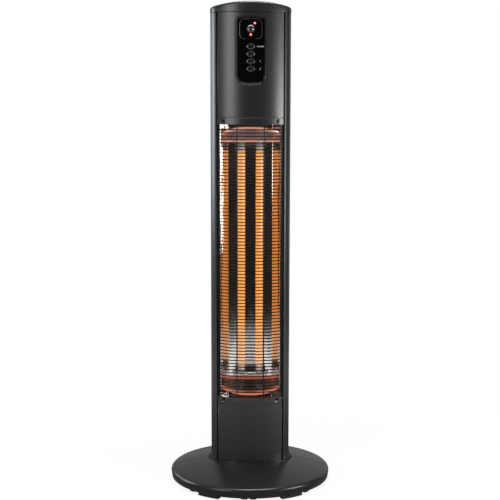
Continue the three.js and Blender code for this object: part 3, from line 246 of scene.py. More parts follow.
# ------------------------------------------------------------------ mesh helpers
def loft(rings, capped=True, looped=False):
    """Skins rings of equal count, one after the other."""
    count, total = len(rings[0]), len(rings)
    verts = np.vstack(rings)
    faces = []
    for k in range(total if looped else total - 1):
        a, b = k * count, ((k + 1) % total) * count
        faces += [(a + i, a + (i + 1) % count, b + (i + 1) % count, b + i) for i in range(count)]
    if capped and not looped:
        faces += [tuple(range(count))[::-1], tuple(range((total - 1) * count, total * count))]
    return verts, faces


def at_level(points, z):
    """Plan points at a height, or at a height each."""
    return np.column_stack([points, np.full(len(points), z)])


def level_rings(points, levels):
    """Copies of a plan outline at several heights."""
    return [at_level(points, z) for z in levels]


def revolve(profile, steps):
    """Turns a profile of (radius, height) about Z. It starts and ends on the axis, or is a loop."""
    profile = np.array(profile, float)
    rings = []
    for a in np.linspace(0, 2 * math.pi, steps, endpoint=False):
        rings.append(
            np.column_stack([profile[:, 0] * math.cos(a), profile[:, 0] * math.sin(a), profile[:, 1]])
        )
    open_ends = profile[0, 0] < 1e-6 and profile[-1, 0] < 1e-6
    verts, faces = loft(rings, looped=True)
    if open_ends:
        count = len(profile)
        faces = [f for f in faces if f[0] % count != count - 1]
    return verts, faces


def sweep(path, radius, sides=10):
    """A round rod along a path, with closed ends. The radius may vary along it."""
    path = np.array(path, float)
    radii = np.broadcast_to(radius, len(path))
    tangents = np.gradient(path, axis=0)
    tangents /= np.linalg.norm(tangents, axis=1)[:, None]
    side = np.cross(tangents[0], (0.0, 0.0, 1.0))
    if np.linalg.norm(side) < 0.2:
        side = np.cross(tangents[0], (0.0, 1.0, 0.0))
    rings = []
    angles = np.linspace(0, 2 * math.pi, sides, endpoint=False)
    for p, t, r in zip(path, tangents, radii):
        side = side - t * side.dot(t)
        side /= np.linalg.norm(side)
        up = np.cross(t, side)
        rings.append(p + r * (np.outer(np.cos(angles), side) + np.outer(np.sin(angles), up)))
    return loft(rings)


def bezier(points, steps=16):
    """Points along a cubic curve."""
    a, b, c, d = (np.array(p, float) for p in points)
    t = np.linspace(0, 1, steps + 1)[:, None]
    return (1 - t) ** 3 * a + 3 * t * (1 - t) ** 2 * b + 3 * t**2 * (1 - t) * c + t**3 * d


def merged(*parts):
    """Several meshes as one list of points and faces."""
    verts, faces, start = [], [], 0
    for v, f in parts:
        verts.append(np.asarray(v, float))
        faces += [tuple(start + i for i in face) for face in f]
        start += len(v)
    return np.vstack(verts), faces


def moved(part, matrix):
    """A mesh put in another place by a matrix in millimetres."""
    verts, faces = part
    m = np.array(matrix)
    return np.asarray(verts) @ m[:3, :3].T + m[:3, 3], faces


def facing_front(x, y, z):
    """Place for a piece made about Z whose top faces the front."""
    return Matrix.Translation((x, y, z)) @ Matrix.Rotation(math.pi / 2, 4, "X")


def facing_rear(x, y, z):
    """Place for a piece made about Z whose top faces the rear."""
    return Matrix.Translation((x, y, z)) @ Matrix.Rotation(-math.pi / 2, 4, "X")


def circle(radius, x=0.0, z=0.0, steps=32, squeeze=1.0):
    """Points of a circle about x and z, squeezed in x."""
    a = np.linspace(0, 2 * math.pi, steps, endpoint=False)
    return np.column_stack([x + radius * squeeze * np.cos(a), z + radius * np.sin(a)])


def oval(width, height, x, z, steps=48):
    """Points of an oval about x and z."""
    return circle(1, 0, 0, steps) * (width / 2, height / 2) + (x, z)


def corner(x, z, radius, start, steps):
    """A quarter circle about x and z, from a starting angle in degrees."""
    turn = [math.radians(start + 90 * i / steps) for i in range(steps + 1)]
    return [(x + radius * math.cos(a), z + radius * math.sin(a)) for a in turn]


def box_outline(x0, x1, z0, z1, radius=0.0, steps=6):
    """Rectangle, with rounded corners where a radius is given."""
    if radius <= 0:
        return np.array([(x0, z0), (x1, z0), (x1, z1), (x0, z1)], float)
    left, right, low, high = x0 + radius, x1 - radius, z0 + radius, z1 - radius
    corners = ((right, low, -90), (right, high, 0), (left, high, 90), (left, low, 180))
    return np.vstack([corner(x, z, radius, start, steps) for x, z, start in corners])


def control_outline(inset):
    """Control panel's outline, drawn in by an inset, with bowed top and bottom edges."""
    half = CONTROL_HALF - inset
    low, high = CONTROL_BOTTOM + CONTROL_ARCH + inset, CONTROL_TOP - CONTROL_ARCH - inset
    low_radius, high_radius = max(19 - inset, 1), max(9 - inset, 1)
    low_x, high_x, steps, run = half - low_radius, half - high_radius, 10, 12

    def edge(z, x0, x1):
        return [(x0 + (x1 - x0) * i / run, z) for i in range(1, run)]

    points = corner(low_x, low + low_radius, low_radius, -90, steps)
    points += corner(high_x, high - high_radius, high_radius, 0, steps)
    points += edge(high, high_x, -high_x)
    points += corner(-high_x, high - high_radius, high_radius, 90, steps)
    points += corner(-low_x, low + low_radius, low_radius, 180, steps)
    points = np.array(points + edge(low, -low_x, low_x))
    bow = CONTROL_ARCH * (1 - (points[:, 0] / half) ** 2)
    middle = (CONTROL_TOP + CONTROL_BOTTOM) / 2
    points[:, 1] += np.where(points[:, 1] > middle, bow, -bow)
    return points


def window_outline(grow):
    """Receiver window's outline, grown by a distance."""
    half, radius = 26.5 + grow, 12 + grow
    return box_outline(-half, half, WINDOW_BOTTOM - grow, WINDOW_TOP + grow, radius, 10)


def inside(points, polygon):
    """Which points lie in a polygon."""
    x, z = points[:, 0][:, None], points[:, 1][:, None]
    a, b = polygon, np.roll(polygon, -1, axis=0)
    crosses = (a[:, 1] > z) != (b[:, 1] > z)
    with np.errstate(divide="ignore", invalid="ignore"):
        at = a[:, 0] + (z - a[:, 1]) * (b[:, 0] - a[:, 0]) / (b[:, 1] - a[:, 1])
    return (crosses & (x < at)).sum(axis=1) % 2 == 1


def distance_to(points, loops):
    """Distance of points to the nearest line of several loops."""
    best = np.full(len(points), np.inf)
    for loop in loops:
        a, b = loop, np.roll(loop, -1, axis=0)
        d = b - a
        length = np.maximum((d**2).sum(axis=1), 1e-12)
        rel = points[:, None, :] - a[None]
        t = np.clip((rel * d[None]).sum(axis=2) / length[None], 0, 1)
        gap = rel - t[..., None] * d[None]
        best = np.minimum(best, np.sqrt((gap**2).sum(axis=2)).min(axis=1))
    return best


def sheet(outer, holes, front, back, columns, lip=0.5, marks=()):
    """A curved sheet with rounded lips round its outline and holes.

    outer and holes give their loops in (x, z) for a distance into the sheet; front and back give y
    from x, z and how far the lip falls away; columns are the x places where the sheet may bend.
    """
    lips = (0.0, 0.3 * lip, lip, lip + 0.3)
    edges_of = [outer(0.0)] + [hole(0.0) for hole in holes]
    loops = [outer(t) for t in lips] + [
        hole(t)
        for hole in holes for t in lips
    ] + [np.asarray(m) for m in marks]
    coords, edges = [], []
    for loop in loops:
        start, count = len(coords), len(loop)
        coords += [Vector(p) for p in loop]
        edges += [(start + i, start + (i + 1) % count) for i in range(count)]
    low, high = edges_of[0][:, 1].min() - 1, edges_of[0][:, 1].max() + 1
    for x in columns:
        edges.append((len(coords), len(coords) + 1))
        coords += [Vector((x, low)), Vector((x, high))]
    flat, _, triangles, *_ = delaunay_2d_cdt(coords, edges, [], 0, 1e-5)
    flat = np.array([tuple(p) for p in flat])
    triangles = np.array([tuple(t) for t in triangles])
    centres = flat[triangles].mean(axis=1)
    keep = inside(centres, edges_of[0])
    for loop in edges_of[1:]:
        keep &= ~inside(centres, loop)
    triangles = triangles[keep]
    used, triangles = np.unique(triangles, return_inverse=True)
    triangles = triangles.reshape(-1, 3)
    flat = flat[used]
    gap = np.minimum(distance_to(flat, edges_of), lip)
    fall = lip - np.sqrt(np.maximum(lip**2 - (lip - gap) ** 2, 0))
    x, z = flat[:, 0], flat[:, 1]
    verts = np.vstack([np.column_stack([x, front(x, z, fall), z]), np.column_stack([x, back(x, z), z])])
    count = len(flat)
    faces = [tuple(t) for t in triangles] + [tuple(t + count)[::-1] for t in triangles]
    sides = {}
    for t in triangles:
        for a, b in ((t[0], t[1]), (t[1], t[2]), (t[2], t[0])):
            key = (min(a, b), max(a, b))
            sides[key] = None if key in sides else (a, b)
    faces += [(a, a + count, b + count, b) for a, b in (s for s in sides.values() if s)]
    return verts, faces


def new_mesh(name, part):
    """A mesh in metres from points in millimetres and faces."""
    verts, faces = part
    mesh = bpy.data.meshes.new(name)
    faces = [tuple(int(i) for i in face) for face in faces]
    mesh.from_pydata((np.asarray(verts, float) * MM).tolist(), [], faces)
    return mesh


def clean(mesh, sharp=35.0, dissolve=False):
    """Merges doubled points, turns faces outwards and shades the mesh smooth, up to the sharp angle."""
    shape = bmesh.new()
    shape.from_mesh(mesh)
    bmesh.ops.remove_doubles(shape, verts=shape.verts, dist=SAME_POINT)
    if dissolve:
        bmesh.ops.dissolve_degenerate(shape, edges=shape.edges, dist=NO_LENGTH)
    bmesh.ops.recalc_face_normals(shape, faces=shape.faces)
    shape.to_mesh(mesh)
    shape.free()
    mesh.shade_smooth()
    if sharp:
        mesh.set_sharp_from_angle(angle=math.radians(sharp))


def in_scene(name, data):
    """A new object in the scene, at the origin."""
    obj = bpy.data.objects.new(name, data)
    bpy.context.scene.collection.objects.link(obj)
    return obj


def tie(obj, replaces=(), body="tower"):
    """Says what a finished piece rides on and what it stands for."""
    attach(obj, body)
    if replaces:
        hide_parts(*replaces)


def piece(name, part, finish, replaces=(), body="tower", bevel=0.0, sharp=32.0):
    """Makes an object from a mesh in millimetres, finishes it and ties it to the frame."""
    mesh = new_mesh(name, part)
    clean(mesh, sharp=0 if bevel else sharp, dissolve=True)
    mesh.materials.append(FINISHES[finish])
    obj = in_scene(name, mesh)
    if bevel:
        soft = obj.modifiers.new("Soft edges", "BEVEL")
        soft.width = bevel * MM
        soft.segments = 2
        soft.limit_method = "ANGLE"
        soft.angle_limit = math.radians(sharp)
        soft.harden_normals = True
        soft.use_clamp_overlap = True
    tie(obj, replaces, body)


# ------------------------------------------------------------------ node helpers
class Graph:
    """Adds nodes to a tree: plain values set sockets, sockets are linked."""

    def __init__(self, tree):
        self.tree = tree

    def feed(self, value, socket):
        """Links a socket to another, or sets it to a plain value."""
        if isinstance(value, bpy.types.NodeSocket):
            self.tree.links.new(value, socket)
        else:
            socket.default_value = value

    def add(self, kind, inputs=None, **settings):
        """A new node: its settings first, then its inputs."""
        node = self.tree.nodes.new(kind)
        for key, value in settings.items():
            setattr(node, key, value)
        for key, value in (inputs or {}).items():
            self.feed(value, node.inputs[key])
        return node

    def math(self, operation, a, b=0.0):
        """Result of a Math node."""
        return self.add("ShaderNodeMath", {0: a, 1: b}, operation=operation).outputs[0]

    def square(self, a):
        """A number times itself."""
        return self.math("MULTIPLY", a, a)

    def blend(self, factor, a, b):
        """Mixes two colours."""
        return self.add("ShaderNodeMix", {0: factor, 6: a, 7: b}, data_type="RGBA").outputs[2]

    def mix(self, factor, a, b):
        """Mixes two numbers."""
        return self.add("ShaderNodeMix", {0: factor, 2: a, 3: b}, data_type="FLOAT").outputs[0]

    def axes(self, vector):
        """X, Y and Z of a vector."""
        return self.add("ShaderNodeSeparateXYZ", {0: vector}).outputs

    def span(self, value, low, high, to_low=0.0, to_high=1.0, smooth=False):
        """Takes a value from one range to another, and holds it there."""
        kind = "SMOOTHSTEP" if smooth else "LINEAR"
        inputs = {"Value": value, "From Min": low, "From Max": high, "To Min": to_low, "To Max": to_high}
        return self.add("ShaderNodeMapRange", inputs, interpolation_type=kind).outputs[0]

    def effect(self, name, place, values):
        """One of the shared surface effects, with its own values."""
        return self.add("ShaderNodeGroup", {"Vector": place, **values}, node_tree=GROUPS[name]).outputs

    def rod(self, curve, profile):
        """A closed rod along a curve."""
        inputs = {"Curve": curve, "Profile Curve": profile, "Fill Caps": True}
        return self.add("GeometryNodeCurveToMesh", inputs).outputs[0]

    def dress(self, geometry, finish, result):
        """Ends a Geometry Nodes tree: copies made real, and in their finish."""
        solid = self.add("GeometryNodeRealizeInstances", {"Geometry": geometry}).outputs[0]
        dressed = self.add("GeometryNodeSetMaterial", {"Geometry": solid, "Material": finish})
        self.feed(dressed.outputs[0], result)


def new_group(name, kind, inputs, outputs):
    """A node group with named sockets (type, default): its graph, what goes in and what comes out."""
    tree = bpy.data.node_groups.new(name, kind)
    for direction, sockets in (("INPUT", inputs), ("OUTPUT", outputs)):
        for label, (socket_type, *default) in sockets.items():
            socket = tree.interface.new_socket(
                label, in_out=direction, socket_type="NodeSocket" + socket_type
            )
            if default:
                socket.default_value = default[0]
    g = Graph(tree)
    return g, g.add("NodeGroupInput").outputs, g.add("NodeGroupOutput").inputs


def grain_group():
    """Shared surface effect: broad tone, fine grain and the height of both."""
    g, value, result = new_group(
        "Surface grain",
        "ShaderNodeTree",
        {"Vector": ("Vector",), "Grain Scale": ("Float", 900.0), "Blotch Scale": ("Float", 14.0)},
        {"Tone": ("Float",), "Grain": ("Float",), "Height": ("Float",)},
    )

    def noise(scale, detail, roughness):
        inputs = {"Vector": value["Vector"], "Scale": scale, "Detail": detail, "Roughness": roughness}
        return g.add("ShaderNodeTexNoise", inputs).outputs[0]

    blotch = noise(value["Blotch Scale"], 3.0, 0.55)
    grain = noise(value["Grain Scale"], 2.0, 0.6)
    g.feed(g.span(blotch, 0.3, 0.7), result["Tone"])
    g.feed(grain, result["Grain"])
    g.feed(g.math("ADD", grain, g.math("MULTIPLY", blotch, 0.35)), result["Height"])
    return g.tree


def stripe_group():
    """Shared surface effect: soft stripes across Z, as turned or wound pieces show."""
    g, value, result = new_group(
        "Turned stripes",
        "ShaderNodeTree",
        {"Vector": ("Vector",), "Pitch": ("Float", 0.004), "Waver": ("Float", 0.2)},
        {"Stripe": ("Float",)},
    )
    noise = g.add("ShaderNodeTexNoise", {"Vector": value["Vector"], "Scale": 40.0, "Detail": 1.0})
    turns = g.math("DIVIDE", g.axes(value["Vector"])["Z"], value["Pitch"])
    turns = g.math("ADD", turns, g.math("MULTIPLY", noise.outputs[0], value["Waver"]))
    wave = g.math("SINE", g.math("MULTIPLY", turns, 2 * math.pi))
    g.feed(g.span(wave, -1.0, 1.0), result["Stripe"])
    return g.tree


def halo_group():
    """Shared surface effect: a round patch about a point, strongest in its middle."""
    g, value, result = new_group(
        "Round patch",
        "ShaderNodeTree",
        {
            "Vector": ("Vector",), "Middle": ("Vector", (0.0, 0.0, 0.0)),
            "Inner": ("Float", 0.001), "Outer": ("Float", 0.005),
        },
        {"Mask": ("Float",)},
    )
    gap = g.add("ShaderNodeVectorMath", {0: value["Vector"], 1: value["Middle"]}, operation="DISTANCE")
    mask = g.span(gap.outputs["Value"], value["Outer"], value["Inner"], smooth=True)
    g.feed(g.square(mask), result["Mask"])
    return g.tree


GROUPS = {}
FINISHES = {}


# ------------------------------------------------------------------ finishes
def rgba(colour):
    """A colour with full alpha."""
    return (*colour[:3], 1.0)


def grey(level):
    """The same level in red, green and blue."""
    return (level, level, level)


def fresh_graph(owner):
    """Turns nodes on for a material or a world, with none in them yet."""
    owner.use_nodes = True
    owner.node_tree.nodes.clear()
    return Graph(owner.node_tree)


class Finish:
    """A material in the making: its nodes, its shader and the place on the piece."""

    def __init__(self, material, g, shader, place):
        self.material, self.g, self.shader, self.place = material, g, shader, place

    def source(self, socket):
        """What feeds a socket of the shader so far."""
        return self.shader.inputs[socket].links[0].from_socket

    def tint(self, mask, colour, socket="Base Color"):
        """Lays a colour over the present one where the mask says."""
        self.g.feed(self.g.blend(mask, self.source(socket), rgba(colour)), self.shader.inputs[socket])

    def glow(self, colour, strength=1.0):
        """Makes the finish give off a colour."""
        self.g.feed(colour, self.shader.inputs["Emission Color"])
        self.shader.inputs["Emission Strength"].default_value = strength


def surface(
    name, dark, light, roughness, grain=900.0, blotch=14.0, bump=0.15, depth=0.0002, stretch=None, **fixed
):
    """A finish whose colour, roughness and relief all vary over the surface."""
    material = bpy.data.materials.new(name)
    g = fresh_graph(material)
    place = g.add("ShaderNodeTexCoord").outputs["Object"]
    if stretch:
        place = g.add("ShaderNodeMapping", {"Vector": place, "Scale": stretch}).outputs[0]
    effect = g.effect("grain", place, {"Grain Scale": grain, "Blotch Scale": blotch})
    colour = g.blend(effect["Tone"], rgba(dark), rgba(light))
    rough = g.span(effect["Grain"], 0.3, 0.7, *roughness)
    relief = g.add("ShaderNodeBump", {"Strength": bump, "Distance": depth, "Height": effect["Height"]})
    shader = g.add(
        "ShaderNodeBsdfPrincipled", {"Base Color": colour, "Roughness": rough, "Normal": relief.outputs[0]}
    )
    for key, value in fixed.items():
        shader.inputs[key.replace("_", " ")].default_value = value
    g.add("ShaderNodeOutputMaterial", {"Surface": shader.outputs[0]})
    return Finish(material, g, shader, place)


def painted_shade_flanges(finish):
    """The flanges behind the column's grooves are painted with shade: near black and dull, as they lie in
    shadow.
    """
    g = finish.g
    across = g.math("ABSOLUTE", g.axes(finish.place)["X"])
    flange = g.span(across, (GROOVE_EDGE + 0.2) * MM, (GROOVE_EDGE - 0.2) * MM)
    # painted shade: the flanges' colour is set near black
    finish.tint(flange, grey(0.0008))
    g.feed(g.mix(flange, finish.source("Roughness"), 0.95), finish.shader.inputs["Roughness"])


def painted_ring_highlights(finish):
    """The two points of a button's ring get a painted highlight."""
    g = finish.g
    across = g.math("ABSOLUTE", g.axes(finish.place)["X"])
    # painted highlight: pale grey at the ring's left and right points
    finish.tint(g.span(across, 0.0070, 0.0086, smooth=True), grey(0.40))


def painted_lamp_glow(finish):
    """Painted light: the trough's end walls give off the lamps' red glow near both of their edges, and a dim
    glow between them that grows greyer and brighter higher up.
    """
    g, axes = finish.g, finish.g.axes(finish.place)
    bow = ((FRONT_RADIUS - END_DEPTH) * MM) ** 2
    front = g.math("SQRT", g.math("SUBTRACT", bow, g.square(axes["X"])))
    behind = g.math("SUBTRACT", g.math("ADD", axes["Y"], front), FRONT_CENTRE * MM)
    near = g.span(behind, 0.013, 0.001, smooth=True)
    upper = g.span(axes["Z"], 0.4, 0.7)
    far = g.span(axes["Y"], -0.010, -0.001, smooth=True)
    far = g.math("MULTIPLY", far, g.span(upper, 0, 1, 0.55, 1.0))
    # painted glow between the edges, brighter higher up, and the painted red glow at the edges
    tone = g.blend(upper, (0.010, 0.008, 0.008, 1), (0.095, 0.066, 0.062, 1))
    edge = g.blend(upper, (0.56, 0.155, 0.095, 1), (0.58, 0.25, 0.19, 1))
    finish.glow(g.blend(g.math("MAXIMUM", near, far), tone, edge))


def painted_window_glow(finish):
    """Painted glow: the receiver window gives off the red and amber spill of its two lights round them."""
    g, patches = finish.g, []
    for (x, z), colour in ((POWER_LIGHT, (0.20, 0.001, 0.008)), (HEAT_LIGHT, (0.22, 0.016, 0.0))):
        middle = (x * MM, float(front_y(x, WINDOW_DEPTH)) * MM, z * MM)
        patch = g.effect("halo", finish.place, {"Middle": middle, "Inner": 0.0012, "Outer": 0.0078})
        patches.append(g.blend(patch["Mask"], (0, 0, 0, 1), rgba(colour)))
    # the two painted halos are given off as emission by the window
    both = g.add("ShaderNodeVectorMath", {0: patches[0], 1: patches[1]}, operation="ADD")
    finish.glow(both.outputs[0])


def painted_lens_highlights(finish):
    """Painted highlights on the lens: two pale spots inside a ring that is brightest on top."""
    g, axes = finish.g, finish.g.axes(finish.place)
    up = g.math("SUBTRACT", axes["Z"], LENS_LEVEL * MM)
    reach = g.math("SQRT", g.math("ADD", g.square(axes["X"]), g.square(up)))
    # painted highlight: a pale ring round the lens, brightest on top
    inner, outer = g.span(reach, 0.0062, 0.0070, smooth=True), g.span(reach, 0.0086, 0.0078, smooth=True)
    top = g.span(up, 0.0026, 0.0064, 0.12, 1.0, smooth=True)
    finish.tint(g.math("MULTIPLY", g.math("MULTIPLY", inner, outer), top), grey(0.36))
    # painted highlights: two pale spots, one paler than the other
    for x, pale in ((-4.6, 0.30), (4.6, 0.62)):
        middle = (x * MM, -58.4 * MM, (LENS_LEVEL - 1.2) * MM)
        patch = g.effect("halo", finish.place, {"Middle": middle, "Inner": 0.0008, "Outer": 0.0028})
        finish.tint(patch["Mask"], grey(pale))


def light_up(finish, middle, edge, strength, stripes=0.0):
    """Lights a finish, with one colour in the middle of a piece and one at its edges."""
    g = finish.g
    facing = g.add("ShaderNodeLayerWeight", {"Blend": 0.35}).outputs["Facing"]
    colour = g.blend(g.span(facing, 0.15, 0.95, smooth=True), rgba(middle), rgba(edge))
    if stripes:
        wave = g.effect("stripe", finish.place, {"Pitch": stripes})
        colour = g.blend(g.span(wave["Stripe"], 0, 1, 0.0, 0.35), colour, rgba(edge))
    finish.glow(colour, strength)
    return finish


def paler_below(finish):
    """The tubes look paler towards their lower ends."""
    share = finish.g.span(finish.g.axes(finish.place)["Z"], 0.42, 0.27, 0.0, 0.6, smooth=True)
    finish.tint(share, (0.60, 0.47, 0.34), "Emission Color")


def build_finishes(settings, lamps):
    """Every finish of the heater, by name."""
    GROUPS.update(grain=grain_group(), stripe=stripe_group(), halo=halo_group())
    made = {}

    def keep(name, *args, **kwargs):
        made[name] = surface(name.replace("_", " ").capitalize(), *args, **kwargs)
        return made[name]

    def lit(name, middle, edge, strength, stripes=0.0, **fixed):
        return light_up(keep(name, middle, edge, (0.12, 0.2), **fixed), middle, edge, strength, stripes)

    # painted sheet of the column and the base
    shell = settings.shell_colour
    base = (tuple(c * 0.65 for c in shell), tuple(c * 0.8 for c in shell))
    column = (tuple(c * 0.86 for c in shell), shell, (0.29, 0.36))
    paint = dict(grain=1500, blotch=9, bump=0.10, depth=0.0001, Specular_IOR_Level=0.8)
    keep("satin_shell", *column, **paint)
    keep(
        "base_shell", *base, (0.26, 0.33), grain=1300, blotch=7, bump=0.12, depth=0.0001,
        Specular_IOR_Level=0.58,
    )
    painted_shade_flanges(keep("profile_shell", *column, **paint))

    # each line: the darker and the lighter tone, then the range of the roughness
    keep("black_plastic", (0.010, 0.010, 0.011), (0.016, 0.016, 0.018), (0.42, 0.55), grain=1800, bump=0.2)
    keep(
        "bezel_plastic", (0.007, 0.007, 0.008), (0.011, 0.011, 0.012), (0.22, 0.30), grain=1600, bump=0.08,
        depth=0.0001,
    )
    keep("rubber", grey(0.010), grey(0.018), (0.72, 0.86), grain=1100, bump=0.35)
    keep(
        "cast_iron", (0.030, 0.030, 0.032), (0.055, 0.053, 0.052), (0.6, 0.8), grain=420, bump=0.5,
        depth=0.0005, Metallic=0.6,
    )
    keep(
        "zinc", (0.34, 0.35, 0.37), (0.50, 0.50, 0.49), (0.28, 0.42), grain=700, blotch=60, bump=0.06,
        Metallic=1.0,
    )
    keep(
        "dark_steel", (0.010, 0.010, 0.011), (0.020, 0.020, 0.022), (0.30, 0.42), grain=1600, bump=0.1,
        Metallic=0.6,
    )
    keep(
        "chromed_wire", (0.030, 0.029, 0.029), (0.055, 0.053, 0.052), (0.20, 0.32), grain=900, blotch=90,
        bump=0.05, Metallic=1.0,
    )
    keep("ceramic", (0.58, 0.52, 0.44), (0.74, 0.68, 0.60), (0.45, 0.6), grain=900, blotch=120, bump=0.15)
    keep("board", (0.012, 0.060, 0.028), (0.020, 0.085, 0.040), (0.3, 0.45), grain=600, blotch=200, bump=0.2)
    keep("nylon", (0.62, 0.59, 0.50), (0.74, 0.71, 0.62), (0.4, 0.55), grain=900, blotch=60, bump=0.1)
    keep("cable_jacket", (0.012, 0.012, 0.013), (0.020, 0.020, 0.022), (0.5, 0.62), grain=700, bump=0.2)
    keep("lead_sleeve", (0.46, 0.40, 0.36), (0.66, 0.60, 0.54), (0.6, 0.75), grain=1400, blotch=160, bump=0.4)
    keep(
        "button_face", (0.0035, 0.0035, 0.0040), (0.0055, 0.0055, 0.0060), (0.40, 0.52), grain=1800,
        blotch=90, bump=0.12, Specular_IOR_Level=0.3,
    )
    keep("printed_white", grey(0.34), grey(0.48), (0.45, 0.55), grain=1800, blotch=300, bump=0.05)
    keep(
        "window_line", (0.035, 0.035, 0.038), (0.075, 0.075, 0.08), (0.20, 0.30), grain=1200, blotch=90,
        bump=0.05,
    )
    painted_ring_highlights(
        keep(
            "button_ring", (0.045, 0.045, 0.047), (0.065, 0.065, 0.067), (0.26, 0.36), grain=1600, blotch=200,
            bump=0.06,
        )
    )

    # glossy panes: nearly even, with very little relief
    pane = dict(grain=300, bump=0.01, depth=0.0001)
    keep(
        "fascia", (0.0010, 0.0010, 0.0012), (0.0018, 0.0018, 0.0021), (0.05, 0.09), blotch=6, Coat_Weight=0.3,
        **pane,
    )
    painted_window_glow(
        keep(
            "lens_window", (0.0012, 0.0010, 0.0011), (0.0020, 0.0017, 0.0018), (0.05, 0.10), blotch=20,
            **pane,
        )
    )
    painted_lens_highlights(
        keep(
            "lens", (0.012, 0.011, 0.013), (0.022, 0.020, 0.022), (0.04, 0.08), blotch=90, Coat_Weight=0.5,
            **pane,
        )
    )

    # polished reflector: long soft waves, as thin rolled sheet has
    keep(
        "mirror", (0.80, 0.73, 0.69), (0.90, 0.83, 0.79), (0.05, 0.12), grain=46, blotch=9, bump=0.30,
        depth=0.0016, stretch=(1, 1, 0.22), Metallic=1.0,
    )
    painted_lamp_glow(
        keep(
            "mirror_end", (0.24, 0.22, 0.22), (0.36, 0.33, 0.32), (0.18, 0.30), grain=60, blotch=20,
            bump=0.35, depth=0.0012, Metallic=1.0,
        )
    )

    warm = tuple(lamps.glow_colour)
    rim = (warm[0] * 0.72, warm[1] * 0.50, warm[2] * 0.35)
    paler_below(
        lit(
            "lamp_tube", warm, rim, lamps.glow_strength, lamps.coil_pitch, grain=400, blotch=60, bump=0.02,
            Coat_Weight=0.8,
        )
    )
    lit("filament", (1.0, 0.62, 0.22), (0.9, 0.35, 0.06), lamps.glow_strength * 1.6, grain=600, bump=0.2)
    lit("power_light", (1.0, 0.50, 0.56), (0.55, 0.008, 0.03), 1.0, grain=600, bump=0.02)
    lit("heat_light", (1.0, 0.56, 0.26), (0.50, 0.08, 0.005), 1.0, grain=600, bump=0.02)
    return {name: finish.material for name, finish in made.items()}


# ------------------------------------------------------------------ base
def hole_radius(outline, angles):
    """Distance from the axis to an outline along each direction."""
    around = np.arctan2(outline[:, 1], outline[:, 0])
    order = np.argsort(around)
    around, reach = around[order], np.hypot(outline[order, 0], outline[order, 1])
    return np.interp(angles, around, reach, period=2 * math.pi)


def build_base(settings):
    """Two domed shell halves with a soft seam between them."""
    outline = column_outline(FOOT_GAP, FOOT_FLARE) / (1, BASE_DEPTH_SHARE)
    dense = []
    for a, b in zip(outline, np.roll(outline, -1, axis=0)):
        dense += [a + (b - a) * t for t in np.linspace(0, 1, 12, endpoint=False)]
    outline = np.array(dense)
    arc = np.linspace(0, math.pi / 2 - DOME_LEAN, 12)

    def edge(radius, angles):
        """Points of the base's rounded edge."""
        return [(EDGE_CENTRE + radius * math.cos(a), EDGE_LEVEL + radius * math.sin(a)) for a in angles]

    def profile(hole, sink):
        """Closed section (radius, z) from the skirt over the dome to the hole and back inside."""
        skirt = SKIRT_OUTER - sink
        outer = [(SKIRT_INNER, SKIRT_LEVEL), (skirt - 0.6, SKIRT_LEVEL), (skirt, SKIRT_LEVEL + 0.7)]
        outer += edge(EDGE_RADIUS - sink, arc)
        lip = 0.9
        crest = dome_z(hole + lip, sink)
        top = [(r, dome_z(r, sink)) for r in np.linspace(outer[-1][0], hole + lip, 15)[1:]]
        for a in np.radians((25, 50, 72, 90)):
            top.append((hole + lip * (1 - math.sin(a)), crest - lip * (1 - math.cos(a))))
        inner = [(r, dome_z(r, BASE_WALL)) for r in np.linspace(hole, EDGE_CENTRE, 8)]
        return np.array(outer + top + inner + edge(EDGE_RADIUS - BASE_WALL, arc[::-3]))

    seam = 0.25
    squeeze = (BASE_RADIUS - seam) / BASE_RADIUS * BASE_DEPTH_SHARE
    # the skin sinks a little at each end of a half, so that the seam shows as a soft line
    steps = settings.base_steps
    angles = [0] * 3 + [*np.radians(np.linspace(1.5, 178.5, steps))] + [math.pi] * 3
    shifts = [0, 0.2, 0.7] + [0] * steps + [0.7, 0.2, 0]
    sinks = [0.6, 0.2, 0] + [0] * steps + [0, 0.2, 0.6]
    for name, sign in (("base_front_half", -1), ("base_rear_half", 1)):
        holes = hole_radius(outline, np.array(angles) * sign)
        rings = []
        for a, shift, sink, hole in zip(angles, shifts, sinks, holes):
            p = profile(hole, sink)
            y = seam + shift + p[:, 0] * math.sin(a) * squeeze
            rings.append(np.column_stack([p[:, 0] * math.cos(a), sign * y, p[:, 1]]))
        piece(name, loft(rings), "base_shell", [name], sharp=38)


def on_base(radius, angle):
    """Place on the oval base's plan at an angle from its front."""
    return radius * math.sin(angle), -radius * math.cos(angle) * BASE_DEPTH_SHARE


def build_feet(settings):
    """Rubber feet with ribbed rims, each with its peg."""
    outer, top = SKIRT_INNER - FIT, SKIRT_LEVEL - FIT
    inner = outer - FOOT_DEPTH
    low, high = SKIRT_LEVEL / 2, SKIRT_LEVEL + BOTTOM_PLATE
    peg = revolve([(0, low), (3.4, low), (4, low + 0.6), (4, high - 0.5), (3.5, high), (0, high)], 24)
    steps = settings.foot_ribs * 4
    for name, middle in FOOT_ANGLES.items():
        rings = []
        for i in range(steps + 1):
            a = math.radians(middle - FOOT_SPAN / 2 + FOOT_SPAN * i / steps)
            rim = outer - (RIB_DEPTH if i % 4 in (1, 2) else 0.0)
            section = [
                (inner + 0.6, 0), (rim - 0.8, 0), (rim, 0.8), (rim, top - 0.6),
                (outer - 0.5, top), (inner, top), (inner, 0.6),
            ]
            rings.append(np.array([(*on_base(r, a), z) for r, z in section]))
        place = Matrix.Translation((*on_base(outer - FOOT_DEPTH / 2, math.radians(middle)), 0))
        piece(name, merged(loft(rings), moved(peg, place)), "rubber", [name], sharp=38)


